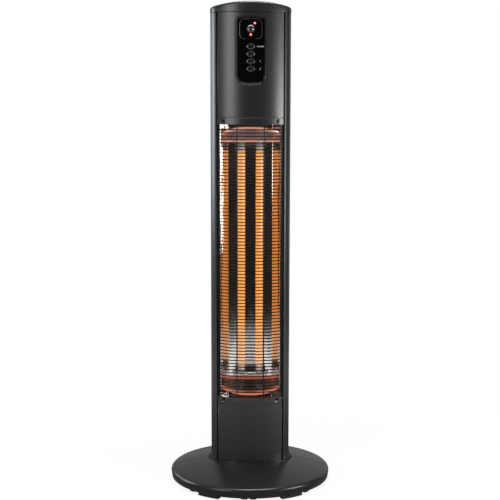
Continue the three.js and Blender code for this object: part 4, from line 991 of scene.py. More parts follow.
def repeated(name, source, points, turns, finish, replaces=()):
    """Geometry Nodes: puts a copy of a small mesh at each point, turned by the point's own angles."""
    g, value, result = new_group(
        name + " places",
        "GeometryNodeTree",
        {"Places": ("Geometry",), "Part": ("Object",), "Part Size": ("Float", 1.0), "Finish": ("Material",)},
        {"Result": ("Geometry",)},
    )
    part = g.add("GeometryNodeObjectInfo", {"Object": value["Part"]}).outputs["Geometry"]
    turn = g.add("GeometryNodeInputNamedAttribute", {"Name": "turn"}, data_type="FLOAT_VECTOR").outputs[0]
    inputs = {"Points": value["Places"], "Instance": part, "Rotation": turn, "Scale": value["Part Size"]}
    copies = g.add("GeometryNodeInstanceOnPoints", inputs)
    g.dress(copies.outputs[0], value["Finish"], result["Result"])

    mesh = new_mesh(name + "_places", (points, []))
    angles = mesh.attributes.new("turn", "FLOAT_VECTOR", "POINT")
    angles.data.foreach_set("vector", np.asarray(turns, float).ravel())
    small = new_mesh(name + "_part", source)
    clean(small)
    part_object = bpy.data.objects.new(name + "_part", small)
    values = {"Part": part_object, "Part Size": 1.0, "Finish": FINISHES[finish]}
    obj = from_nodes(name, mesh, g.tree, values)
    bpy.data.objects.remove(part_object)
    tie(obj, replaces)


def from_nodes(name, mesh, tree, values):
    """Evaluates a Geometry Nodes tree on a mesh and keeps the result as a plain mesh object."""
    holder = bpy.data.objects.new(name + "_nodes", mesh)
    modifier = holder.modifiers.new("Shape", "NODES")
    modifier.node_group = tree
    for item in tree.interface.items_tree:
        if item.item_type == "SOCKET" and item.in_out == "INPUT" and item.name in values:
            modifier[item.identifier] = values[item.name]
    bpy.context.scene.collection.objects.link(holder)
    for value in values.values():
        if isinstance(value, bpy.types.Object):
            bpy.context.scene.collection.objects.link(value)
    bpy.context.view_layer.update()
    evaluated = holder.evaluated_get(bpy.context.evaluated_depsgraph_get())
    result = bpy.data.meshes.new_from_object(evaluated)
    holder.modifiers.remove(modifier)
    bpy.data.objects.remove(holder)
    if not len(result.polygons):
        raise RuntimeError(f"{name}: the node tree made no faces")
    result.name = name
    clean(result)
    if not result.materials:
        result.materials.append(values["Finish"])
    return in_scene(name, result)


def build_tabs():
    """Small plastic tabs that show under the skirt between the feet."""
    angles = np.radians([-46, -4.3, 2.1, 44, 136, 175.7, 182.1, 226])
    radius = (SKIRT_INNER + SKIRT_OUTER) / 2
    outline = np.array([(-7, -1.2), (7, -1.2), (7.5, 0), (6.6, 1.2), (-6.6, 1.2), (-7.5, 0)])
    block = loft(level_rings(outline, (SKIRT_LEVEL - 2, SKIRT_LEVEL + 0.2)))
    points = [(*on_base(radius, a), 0) for a in angles]
    turns = [(0, 0, a) for a in angles]
    repeated("skirt_tabs", block, points, turns, "black_plastic")


# ------------------------------------------------------------------ column shells
def side_section():
    """Right-hand side profile in plan: outer skin with a flange behind each groove."""
    outer = HALF[HALF[:, 4] == 1]
    flange_front, flange_back = COVER_RETURN + FIT, COVER_RETURN + FIT + FLANGE
    clear_front, clear_rear = front_y(GROOVE_EDGE, flange_back), rear_y(GROOVE_EDGE, flange_back)
    inner = outer[:, :2] - outer[:, 2:4] * SIDE_SKIN
    inner = inner[(inner[:, 1] > clear_front + FIT) & (inner[:, 1] < clear_rear - FIT)][::-1]
    points = [tuple(p) for p in outer[:, :2]]
    flange = ((GROOVE_EDGE, flange_front), (FLANGE_TIP, flange_front), (FLANGE_TIP, flange_back))
    points += [(x, rear_y(x, depth)) for x, depth in flange]
    points += [tuple(p) for p in inner]
    points += [(x, front_y(x, depth)) for x, depth in flange[::-1]]
    return np.array(points, float)


def build_sides(settings):
    """Side profiles: one long section each, spreading at the foot."""
    softness = settings.edge_softness / MM
    section = side_section()
    foot = np.linspace(FOOT_LEVEL, FOOT_LEVEL + FLARE_HEIGHT, 15)
    levels = [COLUMN_BOTTOM, 40.0, *foot, *np.linspace(110, CAP_BOTTOM - FIT, 9)]
    for name, sign in (("right_side_profile", 1), ("left_side_profile", -1)):
        rings = []
        for z in levels:
            flare = FOOT_FLARE * float(np.clip(1 - (z - FOOT_LEVEL) / FLARE_HEIGHT, 0, 1)) ** 2
            ring = section.copy()
            ring[:, 0] = spread(ring[:, 0], flare)
            rings.append(np.column_stack([ring[:, 0] * sign, ring[:, 1], np.full(len(ring), z)]))
        piece(name, loft(rings), "profile_shell", [name], bevel=softness, sharp=40)


def cover_columns(step=3.0):
    """Places across a cover where it bends, closer at its folded edges."""
    inner = PANEL_HALF - COVER_SKIN
    middle = np.arange(-72, 72.1, step)
    return [*middle, -inner, inner, -inner - 0.06, inner + 0.06, -75.0, 75.0]


def cover_outline(inset, low, high):
    """Outline of a cover between two heights, drawn in by an inset."""
    return box_outline(inset - PANEL_HALF, PANEL_HALF - inset, low + inset, high - inset)


def cover_back(surface, thickness):
    """Back of a cover: its skin, and deeper at the folded side edges."""

    def back(x, z):
        edge = np.abs(x) > PANEL_HALF - COVER_SKIN + 0.03
        return surface(x, np.where(edge, COVER_RETURN, thickness))

    return back


def build_front_covers(settings):
    """Lower front panel, and the head's panel with the opening for the controls."""
    lip = settings.edge_softness / MM
    front = lambda x, z, fall: front_y(x, fall)
    back = cover_back(front_y, COVER_SKIN)
    covers = (
        ("lower_front_panel", COLUMN_BOTTOM, LOWER_TOP - SEAM, []),
        ("upper_front_panel", HEAD_BOTTOM + SEAM, CAP_BOTTOM - FIT, [lambda t: control_outline(-t)]),
    )
    for name, low, high, holes in covers:
        outer = lambda t, low=low, high=high: cover_outline(t, low, high)
        shape = sheet(outer, holes, front, back, cover_columns(), lip)
        piece(name, shape, "satin_shell", [name], sharp=50)


def build_strips(settings):
    """Guard strips with their sunk screw seats."""
    lip = settings.edge_softness / MM
    lean = math.cos(math.asin(SCREW_X / FRONT_RADIUS))
    strips = (
        ("upper_guard_strip", OPENING_TOP, UPPER_SCREWS), ("lower_guard_strip", LOWER_TOP, LOWER_SCREWS),
    )
    for name, low, screw in strips:
        outer = lambda t, low=low: cover_outline(t, low + SEAM, low + STRIP_HEIGHT - SEAM)
        centres = [(-SCREW_X, screw), (SCREW_X, screw)]
        holes = [lambda t, c=c: circle(2.1 + t * 0.2, *c, steps=24, squeeze=lean) for c in centres]
        seat = (SEAT_RIM, SEAT_RADIUS + 0.05, SEAT_RADIUS)
        marks = [circle(r, *c, steps=40, squeeze=lean) for c in centres for r in seat]

        def front(x, z, fall, centres=centres):
            depth = fall
            for cx, cz in centres:
                gap = np.hypot((x - cx) / lean, z - cz)
                rim = np.maximum(depth, SEAT_FALL * (SEAT_RIM - gap) / 0.4)
                depth = np.where(
                    gap < SEAT_RADIUS + 0.02, SEAT_DEPTH, np.where(gap < SEAT_RIM - 0.01, rim, depth),
                )
            return front_y(x, depth)

        shape = sheet(outer, holes, front, cover_back(front_y, STRIP_SKIN), cover_columns(), lip, marks)
        piece(name, shape, "satin_shell", [name], sharp=50)


def vent_levels():
    """Middle heights of the slots in the rear panel."""
    return [start + i * VENT_PITCH for start in VENT_STARTS for i in range(5)]


def build_rear_panel(settings):
    """Rear panel with vent slots and the gland's hole."""
    lip = settings.edge_softness / MM
    outer = lambda t: cover_outline(t, COLUMN_BOTTOM, CAP_BOTTOM - FIT)
    slot = lambda t, z: box_outline(-VENT_HALF - t, VENT_HALF + t, z - 2 - t, z + 2 + t, 1.8 + t, 5)
    holes = [lambda t, z=z: slot(t, z) for z in vent_levels()]
    holes.append(lambda t: circle(8.3 + t, 0, GLAND_LEVEL, 40))
    front, back = lambda x, z, fall: rear_y(x, fall), cover_back(rear_y, COVER_SKIN)
    shape = sheet(outer, holes, front, back, cover_columns(), min(lip, 0.5))
    piece("rear_panel", shape, "satin_shell", ["rear_panel"], sharp=50)


def build_cap():
    """Crowned cap with a rounded rim and a plug that enters the column."""
    half = COLUMN_HALF + CAP_OVERHANG
    top = lambda x: TOTAL_HEIGHT - CAP_CROWN * (x / half) ** 2
    under = lambda x: top(x) - CAP_WALL

    def ring(offset, level, share=1.0):
        p = column_outline(offset) * share
        return at_level(p, level(p[:, 0]) if callable(level) else level)

    inside_plug, rim = CAP_PLUG - CAP_WALL, CAP_OVERHANG
    rings = [ring(inside_plug, under, share) for share in (0.02, 0.35, 0.7)]
    rings += [ring(inside_plug, under), ring(inside_plug, CAP_BOTTOM - 8)]
    rings += [ring(CAP_PLUG, CAP_BOTTOM - 8), ring(CAP_PLUG, CAP_BOTTOM), ring(rim - 0.5, CAP_BOTTOM)]
    rings += [ring(rim - 0.15, CAP_BOTTOM + 0.15), ring(rim, CAP_BOTTOM + 0.5)]
    # a second ring close above keeps the rim flat in the light
    rings.append(ring(rim, CAP_BOTTOM + 0.9))
    for a in np.linspace(0, math.pi / 2, 9):
        inset, drop = CAP_EDGE * (1 - math.cos(a)), CAP_EDGE * (1 - math.sin(a))
        rings.append(ring(rim - inset, lambda x, drop=drop: top(x) - drop))
    rings += [ring(rim - CAP_EDGE, top, share) for share in (0.92, 0.8, 0.66, 0.5, 0.34, 0.18, 0.02)]
    piece("top_cap", loft(rings), "satin_shell", ["top_cap"], sharp=40)


# ------------------------------------------------------------------ wire guard
def build_guard(settings):
    """Geometry Nodes: bowed cross wires one above the other, two stays and two side rails."""
    pitch = (UPPER_SCREWS - LOWER_SCREWS) / (WIRE_COUNT - 2)
    first = LOWER_SCREWS - pitch / 2
    g, value, result = new_group(
        "Wire guard",
        "GeometryNodeTree",
        {
            "Wire Radius": ("Float", 0.0011),
            "Wire Sides": ("Int", 8),
            "Wires": ("Int", WIRE_COUNT),
            "Pitch": ("Float", pitch * MM),
            "First": ("Float", first * MM),
            "Bow Radius": ("Float", 0.144),
            "Bow Centre": ("Float", FRONT_CENTRE * MM),
            "Half Width": ("Float", 0.0733),
            "Stay Spacing": ("Float", 0.0644),
            "Finish": ("Material",),
        },
        {"Result": ("Geometry",)},
    )
    round_wire = {"Resolution": value["Wire Sides"], "Radius": value["Wire Radius"]}
    profile = g.add("GeometryNodeCurvePrimitiveCircle", round_wire).outputs[0]

    def vector(x=0.0, y=0.0, z=0.0):
        return g.add("ShaderNodeCombineXYZ", {0: x, 1: y, 2: z}).outputs[0]

    def line(start, end):
        return g.add("GeometryNodeCurvePrimitiveLine", {"Start": start, "End": end}).outputs[0]

    def bow(x):
        squared = g.math("SUBTRACT", g.square(value["Bow Radius"]), g.square(x))
        return g.math("SUBTRACT", value["Bow Centre"], g.math("SQRT", squared))

    # one cross wire: a straight line whose points are set on the bow's circle
    left = vector(g.math("MULTIPLY", value["Half Width"], -1.0))
    stations = {"Curve": line(left, vector(value["Half Width"])), "Count": settings.wire_stations}
    fine = g.add("GeometryNodeResampleCurve", stations).outputs[0]
    x = g.axes(g.add("GeometryNodeInputPosition").outputs[0])["X"]
    bowed = g.add("GeometryNodeSetPosition", {"Geometry": fine, "Position": vector(x, bow(x))})
    places = g.add(
        "GeometryNodeMeshLine",
        {
            "Count": value["Wires"], "Start Location": vector(z=value["First"]),
            "Offset": vector(z=value["Pitch"]),
        },
        mode="OFFSET",
    )
    copies = {"Points": places.outputs[0], "Instance": g.rod(bowed.outputs[0], profile)}
    parts = [g.add("GeometryNodeInstanceOnPoints", copies).outputs[0]]

    # uprights run past the first and last wires by half a wire
    low = g.math("SUBTRACT", value["First"], value["Wire Radius"])
    reach = g.math("MULTIPLY", value["Pitch"], g.math("SUBTRACT", value["Wires"], 1.0))
    high = g.math("ADD", g.math("ADD", value["First"], reach), value["Wire Radius"])
    stay = g.math("MULTIPLY", value["Stay Spacing"], 0.5)
    for place, behind in ((stay, 0.0009), (value["Half Width"], 0.0007)):
        y = g.math("ADD", bow(place), behind)
        for sign in (-1.0, 1.0):
            at = g.math("MULTIPLY", place, sign)
            parts.append(g.rod(line(vector(at, y, low), vector(at, y, high)), profile))
    together = g.add("GeometryNodeJoinGeometry")
    for part in parts:
        g.feed(part, together.inputs[0])
    g.dress(together.outputs[0], value["Finish"], result["Result"])
    values = {"Wire Radius": settings.wire_diameter / 2, "Finish": FINISHES["chromed_wire"]}
    obj = from_nodes("wire_guard", bpy.data.meshes.new("wire_guard_start"), g.tree, values)
    tie(obj, ["wire_guard"])


def cross_screw(head=3.2, height=1.3, shank=1.8, length=11.0, wide=1.0, arm=2.1, deep=1.1):
    """Pan-head screw with a cross recess, top facing +Z, its head's underside at z = -height."""
    steps = 48
    outside = ((0.3, -length), (shank, 1.2 - length), (shank, -height))
    outside += ((head, -height), (head, -0.55), (head * 0.93, -0.22), (head * 0.78, 0.0))
    rings = [at_level(circle(r, steps=steps), z) for r, z in outside]
    a = np.linspace(0, 2 * math.pi, steps, endpoint=False)
    fold = (a + math.pi / 4) % (math.pi / 2) - math.pi / 4
    reach = np.minimum(arm, wide / 2 / np.maximum(np.abs(np.sin(fold)), 1e-6))
    cross = np.column_stack([reach * np.cos(a), reach * np.sin(a)])
    rings += [at_level(cross * share, z) for share, z in ((1, 0.0), (0.8, -deep), (0.02, -deep * 1.25))]
    return loft(rings)


def build_screws():
    """The guard's four screws, set into the strips' seats."""
    points, turns = [], []
    for x in (-SCREW_X, SCREW_X):
        lean = math.asin(x / FRONT_RADIUS)
        inward = np.array((-math.sin(lean), math.cos(lean)))
        for z in (UPPER_SCREWS, LOWER_SCREWS):
            seat = np.array((x, front_y(x))) + inward * SEAT_FALL
            points.append((seat[0], seat[1], z))
            turns.append((math.pi / 2, 0.4 if z > 500 else 1.1, lean))
    nodes = [f"guard_screw_{row}_{side}" for row in ("upper", "lower") for side in ("left", "right")]
    repeated("guard_screws", cross_screw(), points, turns, "dark_steel", nodes)


# ------------------------------------------------------------------ reflector and lamps
def rounded_path(points, radius, steps=8):
    """A polyline with its inner corners rounded."""
    points = [np.array(p, float) for p in points]
    result = [points[0]]
    for before, corner, after in zip(points, points[1:], points[2:]):
        a, b = before - corner, after - corner
        la, lb = np.linalg.norm(a), np.linalg.norm(b)
        cut = min(radius, la * 0.45, lb * 0.45)
        p, q = corner + a / la * cut, corner + b / lb * cut
        for t in np.linspace(0, 1, steps + 1):
            result.append((1 - t) ** 2 * p + 2 * t * (1 - t) * corner + t**2 * q)
    return np.array(result + [points[-1]])


def build_reflector():
    """Mirror trough of rolled sheet with rounded folds, and its sloping end walls."""
    mouth = float(front_y(TROUGH_MOUTH, TROUGH_DEPTH))
    lip = float(front_y(GROOVE_EDGE, TROUGH_DEPTH))
    right = [(GROOVE_EDGE, lip), (TROUGH_MOUTH, mouth), (TROUGH_FLAT, TROUGH_BACK)]
    folded = rounded_path([(-x, y) for x, y in right] + right[::-1], 5.0)
    face = [folded[0]]
    for a, b in zip(folded, folded[1:]):
        length = float(np.linalg.norm(b - a))
        # points close to each fold keep the flats between them flat in the light
        face += [a + (b - a) * t / length for t in (0.4, length - 0.4) if length > 3] + [b]
    face = np.array(face)
    direction = np.gradient(face, axis=0)
    direction /= np.linalg.norm(direction, axis=1)[:, None]
    back = face + np.column_stack([-direction[:, 1], direction[:, 0]]) * 1.0
    section = np.vstack([face, back[::-1]])
    trough = loft(level_rings(section, np.linspace(*TROUGH_LEVELS, 25)))
    piece("reflector_trough", trough, "mirror", ["reflector_trough"], sharp=50)
    build_end_wall("reflector_upper_end", OPENING_TOP, 1, mouth)
    build_end_wall("reflector_lower_end", OPENING_BOTTOM, -1, mouth)


def build_end_wall(name, near, sign, mouth):
    """A sloping end wall of the trough, slightly dished; sign is 1 for the upper one."""
    rows, cols, grid = 19, 25, []
    far = near - sign * END_REACH
    start = float(front_y(0, END_DEPTH)) + 0.2
    for share in np.linspace(0, 1, rows):
        y = start + (TROUGH_BACK - 0.4 - start) * share
        z = near + (far - near) * (y + COLUMN_FRONT) / (TROUGH_BACK + COLUMN_FRONT)
        if y < mouth:
            wide = math.sqrt(max((FRONT_RADIUS - END_DEPTH) ** 2 - (FRONT_CENTRE - y) ** 2, 0)) - 0.3
        else:
            narrow = (y - mouth) * (TROUGH_FLAT - TROUGH_MOUTH) / (TROUGH_BACK - mouth)
            wide = min(TROUGH_MOUTH + narrow, TROUGH_MOUTH) - 0.6
        wide = max(wide, 1)
        xs = np.linspace(-wide, wide, cols)
        dish = 0.8 * (1 - (xs / wide) ** 2) * sign * math.sin(math.pi * share)
        grid.append(np.column_stack([xs, np.full(cols, y), z + dish]))
    face = np.vstack(grid)
    total = rows * cols
    faces = []
    for i in range(rows - 1):
        for a in range(i * cols, i * cols + cols - 1):
            quad = (a, a + 1, a + cols + 1, a + cols)
            faces += [quad, tuple(v + total for v in quad[::-1])]
    last = (rows - 1) * cols
    rim = [*range(cols), *range(2 * cols - 1, total, cols)]
    rim += [*range(total - 2, last - 1, -1), *range(last - cols, 0, -cols)]
    faces += [(a, b, b + total, a + total) for a, b in zip(rim, rim[1:] + rim[:1])]
    verts = np.vstack([face, face + (0.0, 0.0, sign)])
    piece(name, (verts, faces), "mirror_end", [name], sharp=50)


def ceramic_profile():
    """Radius and height of a lamp's ceramic end from its stud on: a shoulder, four ribs and a plug."""
    shape = [
        (0, -5), (1.1, -5), (1.5, -4.6), (1.5, 0), (5.2, 0), (5.6, 0.4), (5.6, 2.0), (7.9, 2.6), (8.5, 3.2),
    ]
    for k in range(4):
        base = 4.0 + k * 3.6
        shape += [(8.5, base + 1.6), (7.7, base + 2.1), (7.7, base + 2.8), (8.5, base + 3.3)]
    return shape + [(8.5, 23.4), (7.9, 24), (7.4, 24), (7.4, 28), (0, 28)]


def build_lamps(settings):
    """Quartz tubes, wound filaments and ribbed ceramic ends."""
    low, high = LAMP_BOTTOM + CERAMIC_LENGTH + FIT, LAMP_TOP - CERAMIC_LENGTH - FIT
    bore = TUBE_RADIUS - 1.2
    soft = [(TUBE_RADIUS - 0.5, 0), (TUBE_RADIUS, 0.5)]
    profile = [(r, low + z) for r, z in soft] + [(TUBE_RADIUS, z) for z in np.linspace(low + 8, high - 8, 20)]
    profile += [(r, high - z) for r, z in soft[::-1]] + [(bore, high), (bore, low)]
    for side, sign in (("left", -1), ("right", 1)):
        place = Matrix.Translation((sign * LAMP_X, LAMP_Y, 0))
        tube = moved(revolve(profile, 40), place)
        piece(f"quartz_tube_{side}", tube, "lamp_tube", [f"quartz_tube_{side}"], sharp=50)
        build_filament(settings, f"filament_{side}", sign * LAMP_X, low + 4.3, high - 4.3)
        for end, outer, way in (("upper", LAMP_TOP, -1), ("lower", LAMP_BOTTOM, 1)):
            solid = [(r, outer + way * h) for r, h in ceramic_profile()]
            name = f"lamp_end_{end}_{side}"
            piece(name, moved(revolve(solid, 40), place), "ceramic", [name], sharp=30)


def build_filament(settings, name, x, low, high):
    """Geometry Nodes: a coil wound on a line."""
    g, value, result = new_group(
        name + " coil",
        "GeometryNodeTree",
        {
            "Turns": ("Float", 100.0),
            "Height": ("Float", 0.5),
            "Coil Radius": ("Float", 0.0026),
            "Wire Radius": ("Float", 0.0004),
            "Foot": ("Vector", (0.0, 0.0, 0.0)),
            "Finish": ("Material",),
        },
        {"Result": ("Geometry",)},
    )
    radius = value["Coil Radius"]
    winding = {"Resolution": 10, "Rotations": value["Turns"], "Start Radius": radius, "End Radius": radius}
    coil = g.add("GeometryNodeCurveSpiral", {**winding, "Height": value["Height"]})
    profile = g.add("GeometryNodeCurvePrimitiveCircle", {"Resolution": 4, "Radius": value["Wire Radius"]})
    wire = g.rod(coil.outputs[0], profile.outputs[0])
    placed = g.add("GeometryNodeTransform", {"Geometry": wire, "Translation": value["Foot"]})
    g.dress(placed.outputs[0], value["Finish"], result["Result"])
    length = (high - low) * MM
    foot = (x * MM, LAMP_Y * MM, low * MM)
    values = {
        "Turns": length / settings.coil_pitch, "Height": length, "Foot": foot, "Finish": FINISHES["filament"],
    }
    obj = from_nodes(name, bpy.data.meshes.new(name + "_start"), g.tree, values)
    tie(obj, [name])


def build_leads():
    """Sleeved leads from the lamp studs, bent over and out through the end walls."""
    eyelet = revolve([(1.6, -0.5), (3.6, -0.5), (3.6, 0.5), (1.6, 0.5)], 24)
    for end, stud, way in (("upper", LAMP_TOP + 4.6, 1), ("lower", LAMP_BOTTOM - 4.6, -1)):
        parts = []
        for sign in (-1, 1):
            x, z, out = sign * LAMP_X, stud - way * 1.2, sign * (LAMP_X + 20)
            parts.append(moved(eyelet, Matrix.Translation((x, LAMP_Y, z))))
            start, rise = (x + sign * 2.6, LAMP_Y, z), (x + sign * 12, LAMP_Y - 6, stud)
            path = bezier([start, rise, (out, LAMP_Y - 6, stud - way * 4), (out, -1.5, stud - way * 9)], 20)
            parts.append(sweep(path, 1.7, 10))
        piece(f"lamp_leads_{end}", merged(*parts), "lead_sleeve", sharp=40)


# ------------------------------------------------------------------ control panel
def ring_sheet(outline, stations):
    """A closed frame through stations of (outline's inset, y or depth); a y is negative, and flat."""
    rings = []
    for inset, depth in stations:
        x, z = outline(inset).T
        rings.append(np.column_stack([x, np.full(len(x), depth) if depth < 0 else front_y(x, depth), z]))
    return loft(rings, looped=True)


def build_panel():
    """Bezel, glossy fascia, receiver window with its line, and the printed marks."""
    rim = [
        (0.3, BEZEL_BACK), (0.3, 1.1), (0.42, 0.72), (0.7, 0.48), (1.1, 0.4), (2.4, 0.4), (2.85, 0.5),
        (3.15, 0.75), (3.3, 1.2), (3.3, BEZEL_LEDGE), (6.3, BEZEL_LEDGE), (6.3, BEZEL_BACK),
    ]
    # posts from the bezel's ledge back to the control board
    post = revolve([(0, 0), (2.25, 0), (2.25, 6.4), (0, 6.4)], 20)
    posts = [moved(post, facing_rear(x, BEZEL_BACK - FIT, z)) for x in (-31, 31) for z in (1004.5, 1083.5)]
    bezel = merged(ring_sheet(control_outline, rim), *posts)
    piece("control_bezel", bezel, "bezel_plastic", ["control_bezel"], sharp=50)

    front = lambda x, z, fall: front_y(x, FASCIA_DEPTH + fall)
    flat = lambda x, z: np.full(len(x), FASCIA_BACK)
    holes = [lambda t: window_outline(0.3 + t)]
    holes += [lambda t, z=z: oval(20.0 + 2 * t, 14.0 + 2 * t, 0, z) for z in BUTTON_LEVELS]
    fascia = sheet(lambda t: control_outline(3.6 + t), holes, front, flat, np.arange(-32, 32.1, 2.0), 0.3)
    piece("control_fascia", fascia, "fascia", ["control_fascia"], sharp=50)

    pane = lambda x, z, fall: front_y(x, WINDOW_DEPTH + fall)
    eyes = [lambda t: circle(9.3 + t, 0, LENS_LEVEL, 48)]
    eyes += [lambda t, p=p: circle(2.5 + t, *p, steps=24) for p in (POWER_LIGHT, HEAT_LIGHT)]
    window = sheet(lambda t: window_outline(-t), eyes, pane, flat, np.arange(-26, 26.1, 2.0), 0.35)
    piece("receiver_window", window, "lens_window", ["receiver_window"], sharp=50)

    line = [(-0.45, 0.9), (-0.45, 0.52), (-0.75, 0.45), (-1.05, 0.45), (-1.3, 0.52), (-1.3, 0.9)]
    piece("window_line", ring_sheet(window_outline, line), "window_line", sharp=50)

    for text, level, size in (("ON/OFF", 1052.6, 4.4), ("1", 1018.6, 6.4), ("2", 1001.6, 6.4)):
        printed(f"mark_{text.replace('/', '_').lower()}", text, 22.3, level, size)


def printed(name, text, x, z, size):
    """Printed characters that follow the fascia."""
    curve = bpy.data.curves.new(name + "_curve", "FONT")
    curve.body = text
    curve.size = size * MM
    curve.extrude = 0.00003
    curve.offset = 0.00006
    curve.align_x = curve.align_y = "CENTER"
    curve.resolution_u = 3
    holder = in_scene(name + "_holder", curve)
    bpy.context.view_layer.update()
    mesh = bpy.data.meshes.new_from_object(holder.evaluated_get(bpy.context.evaluated_depsgraph_get()))
    bpy.data.objects.remove(holder)
    co = np.zeros(len(mesh.vertices) * 3)
    mesh.vertices.foreach_get("co", co)
    co = co.reshape(-1, 3) / MM
    px, pz = co[:, 0] + x, co[:, 1] + z
    py = front_y(px, FASCIA_DEPTH) - 0.03 - co[:, 2]
    mesh.vertices.foreach_set("co", (np.column_stack([px, py, pz]) * MM).ravel())
    mesh.materials.clear()
    clean(mesh)
    mesh.materials.append(FINISHES["printed_white"])
    tie(in_scene(name, mesh))


def build_lights():
    """Receiver lens and the two indicator lights."""
    def domed(x, z, radius, crown, sink, steps):
        """A post from the control board to the window, with a domed end."""
        tall = BOARD_FRONT - float(front_y(x, WINDOW_DEPTH)) - sink
        turn = np.linspace(0, math.pi / 2, 12)[:-1]
        dome = [(radius * math.cos(t), tall + crown * math.sin(t)) for t in turn] + [(0, tall + crown)]
        return moved(revolve([(0, 0), (radius, 0)] + dome, steps), facing_front(x, BOARD_FRONT, z))

    lens = domed(0, LENS_LEVEL, 9, 3, 0, 48)
    piece("receiver_lens", lens, "lens", ["receiver_lens"], sharp=50)
    for node, finish, place in (
        ("power_led", "power_light", POWER_LIGHT), ("heat_led", "heat_light", HEAT_LIGHT),
    ):
        piece(node, domed(*place, 2.2, 1.1, FIT, 32), finish, [node], sharp=50)


def build_buttons():
    """Push buttons: an oval ring, pointed left and right, round a sunk oval face."""
    face = -COLUMN_FRONT + FASCIA_DEPTH - 0.8
    for index, level in enumerate(BUTTON_LEVELS, 1):
        name = f"button_{index}"

        def at(width, height, y, point=0.0):
            p = oval(width, height, 0, 0, 64)
            a = np.arctan2(p[:, 1] / height, p[:, 0] / width)
            lean = 1 - point * np.abs(np.sin(2 * a))
            p = p * lean[:, None] + (0, level)
            return np.column_stack([p[:, 0], np.full(64, y), p[:, 1]])

        ring = [
            at(17.0, 11.0, BUTTON_BACK), at(21.8, 15.8, BUTTON_BACK), at(21.8, 15.8, BEZEL_LEDGE),
            at(19.4, 13.4, BEZEL_LEDGE),
            at(19.4, 13.4, face + 0.7), at(19.1, 13.1, face + 0.3), at(
                18.6, 12.6, face + 0.05,
            ), at(17.9, 11.9, face),
            at(
                16.4, 10.2, face + 0.1, 0.03,
            ), at(15.2, 8.6, face + 0.9, 0.06), at(14.9, 8.3, face + 1.3, 0.06),
        ]
        piece(name, loft(ring), "button_face", [name], body=name, sharp=40)

        # thin pale rim, drawn to a point at the left and right
        t = np.linspace(0, 2 * math.pi, 96, endpoint=False)
        eye = np.column_stack([8.9 * np.cos(t), 5.9 * np.sign(np.sin(t)) * np.abs(np.sin(t)) ** 1.5])
        wide = 0.30 + 0.34 * np.abs(np.cos(t)) ** 14
        rim = []
        for a in np.linspace(0, 2 * math.pi, 8, endpoint=False):
            p = eye * (1 + (wide * math.cos(a) / np.hypot(*eye.T))[:, None])
            y = face + 0.05 + 0.22 * np.where(math.sin(a) > 0, 1.0, 1.3) * -math.sin(a)
            rim.append(np.column_stack([p[:, 0], np.full(96, 1.0) * y, p[:, 1] + level]))
        piece(f"{name}_rim", loft(rim, looped=True), "button_ring", body=name, sharp=60)
        cap = [
            at(14.6, 8.0, face + 1.5, 0.06), at(14.6, 8.0, face + 0.9, 0.06), at(
                14.0, 7.4, face + 0.62, 0.05,
            ),
            at(10.0, 5.2, face + 0.5), at(5.0, 2.6, face + 0.62), at(0.2, 0.1, face + 0.66),
        ]
        piece(f"{name}_face", loft(cap), "button_face", body=name, sharp=40)
        stem = revolve([(0, 0), (3, 0), (3, 2.3), (2.8, 2.5), (0, 2.5)], 24)
        stem = moved(stem, facing_rear(0, BUTTON_BACK - 0.1, level))
        piece(f"{name}_stem", stem, "black_plastic", body=name, sharp=40)


# ------------------------------------------------------------------ rear fittings and inner parts
def build_gland():
    """Cable gland on the rear panel: threaded stub, ribbed flange and domed clamp, empty of a cord."""
    steps = 120
    a = np.linspace(0, 2 * math.pi, steps, endpoint=False)
    # radius, height from the start of the thread, then the number and depth of the flutes
    stations = (
        (3.6, 0), (7.7, 0), (8.0, 0.5), (8.0, 7.0), (11.6, 7.0), (12.0, 7.4, 30, 0.5), (12.0, 11.4, 30, 0.5),
        (11.4, 12.0), (8.7, 12.0), (8.5, 12.6, 15, 0.5), (8.2, 15.5, 15, 0.5), (7.6, 19.6, 15, 0.4),
        (7.0, 20.6), (6.2, 21.0), (4.2, 21.0), (3.6, 20.4),
    )

    def ring(radius, height, flutes=0, depth=0.0):
        r = radius - depth * (np.cos(flutes * a) < 0)
        return np.column_stack([r * np.cos(a), r * np.sin(a), np.full(steps, height)])

    rings = [ring(*station) for station in stations]
    part = moved(loft(rings, looped=True), facing_rear(0, GLAND_START, GLAND_LEVEL))
    piece("cable_gland", part, "black_plastic", ["cable_gland"], sharp=38)


INNER_PARTS = {
    "cast_iron": ["base_weight"],
    "black_plastic": ["base_bottom_plate", "gland_nut"],
    "zinc": [
        "column_socket", "socket_bolt_front_left", "socket_bolt_front_right", "socket_bolt_rear_left",
        "socket_bolt_rear_right", "upper_bulkhead", "lower_bulkhead",
        "lamp_bracket_upper", "lamp_bracket_lower",
    ],
    "board": ["control_board", "power_board"],
    "nylon": ["terminal_block", "tilt_switch"],
    "cable_jacket": ["wiring_harness", "control_cable", "mains_lead_inner"],
}


def dress_inner_parts():
    """Gives the pieces that keep their CAD shape their finishes."""
    for finish, names in INNER_PARTS.items():
        for name in names:
            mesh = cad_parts[name].data
            mesh.materials.clear()
            mesh.materials.append(FINISHES[finish])


# ------------------------------------------------------------------ stage
def soft_light(name, power, azimuth, height, size, target, colour=(1, 1, 1), distance=2.3, lean=0.0):
    """An area light at an azimuth from the front, in degrees, positive to the right, aimed at a height.

    lean turns it in its plane.
    """
    light = bpy.data.lights.new(name, "AREA")
    light.shape = "RECTANGLE"
    light.size, light.size_y = size
    light.energy = power
    light.color = colour
    obj = in_scene(name, light)
    a = math.radians(azimuth)
    obj.location = (distance * math.sin(a), -distance * math.cos(a), height)
    direction = Vector((0, 0, target)) - obj.location
    obj.rotation_euler = direction.to_track_quat("-Z", "Y").to_euler()
    obj.matrix_world = obj.matrix_basis @ Matrix.Rotation(math.radians(lean), 4, "Z")


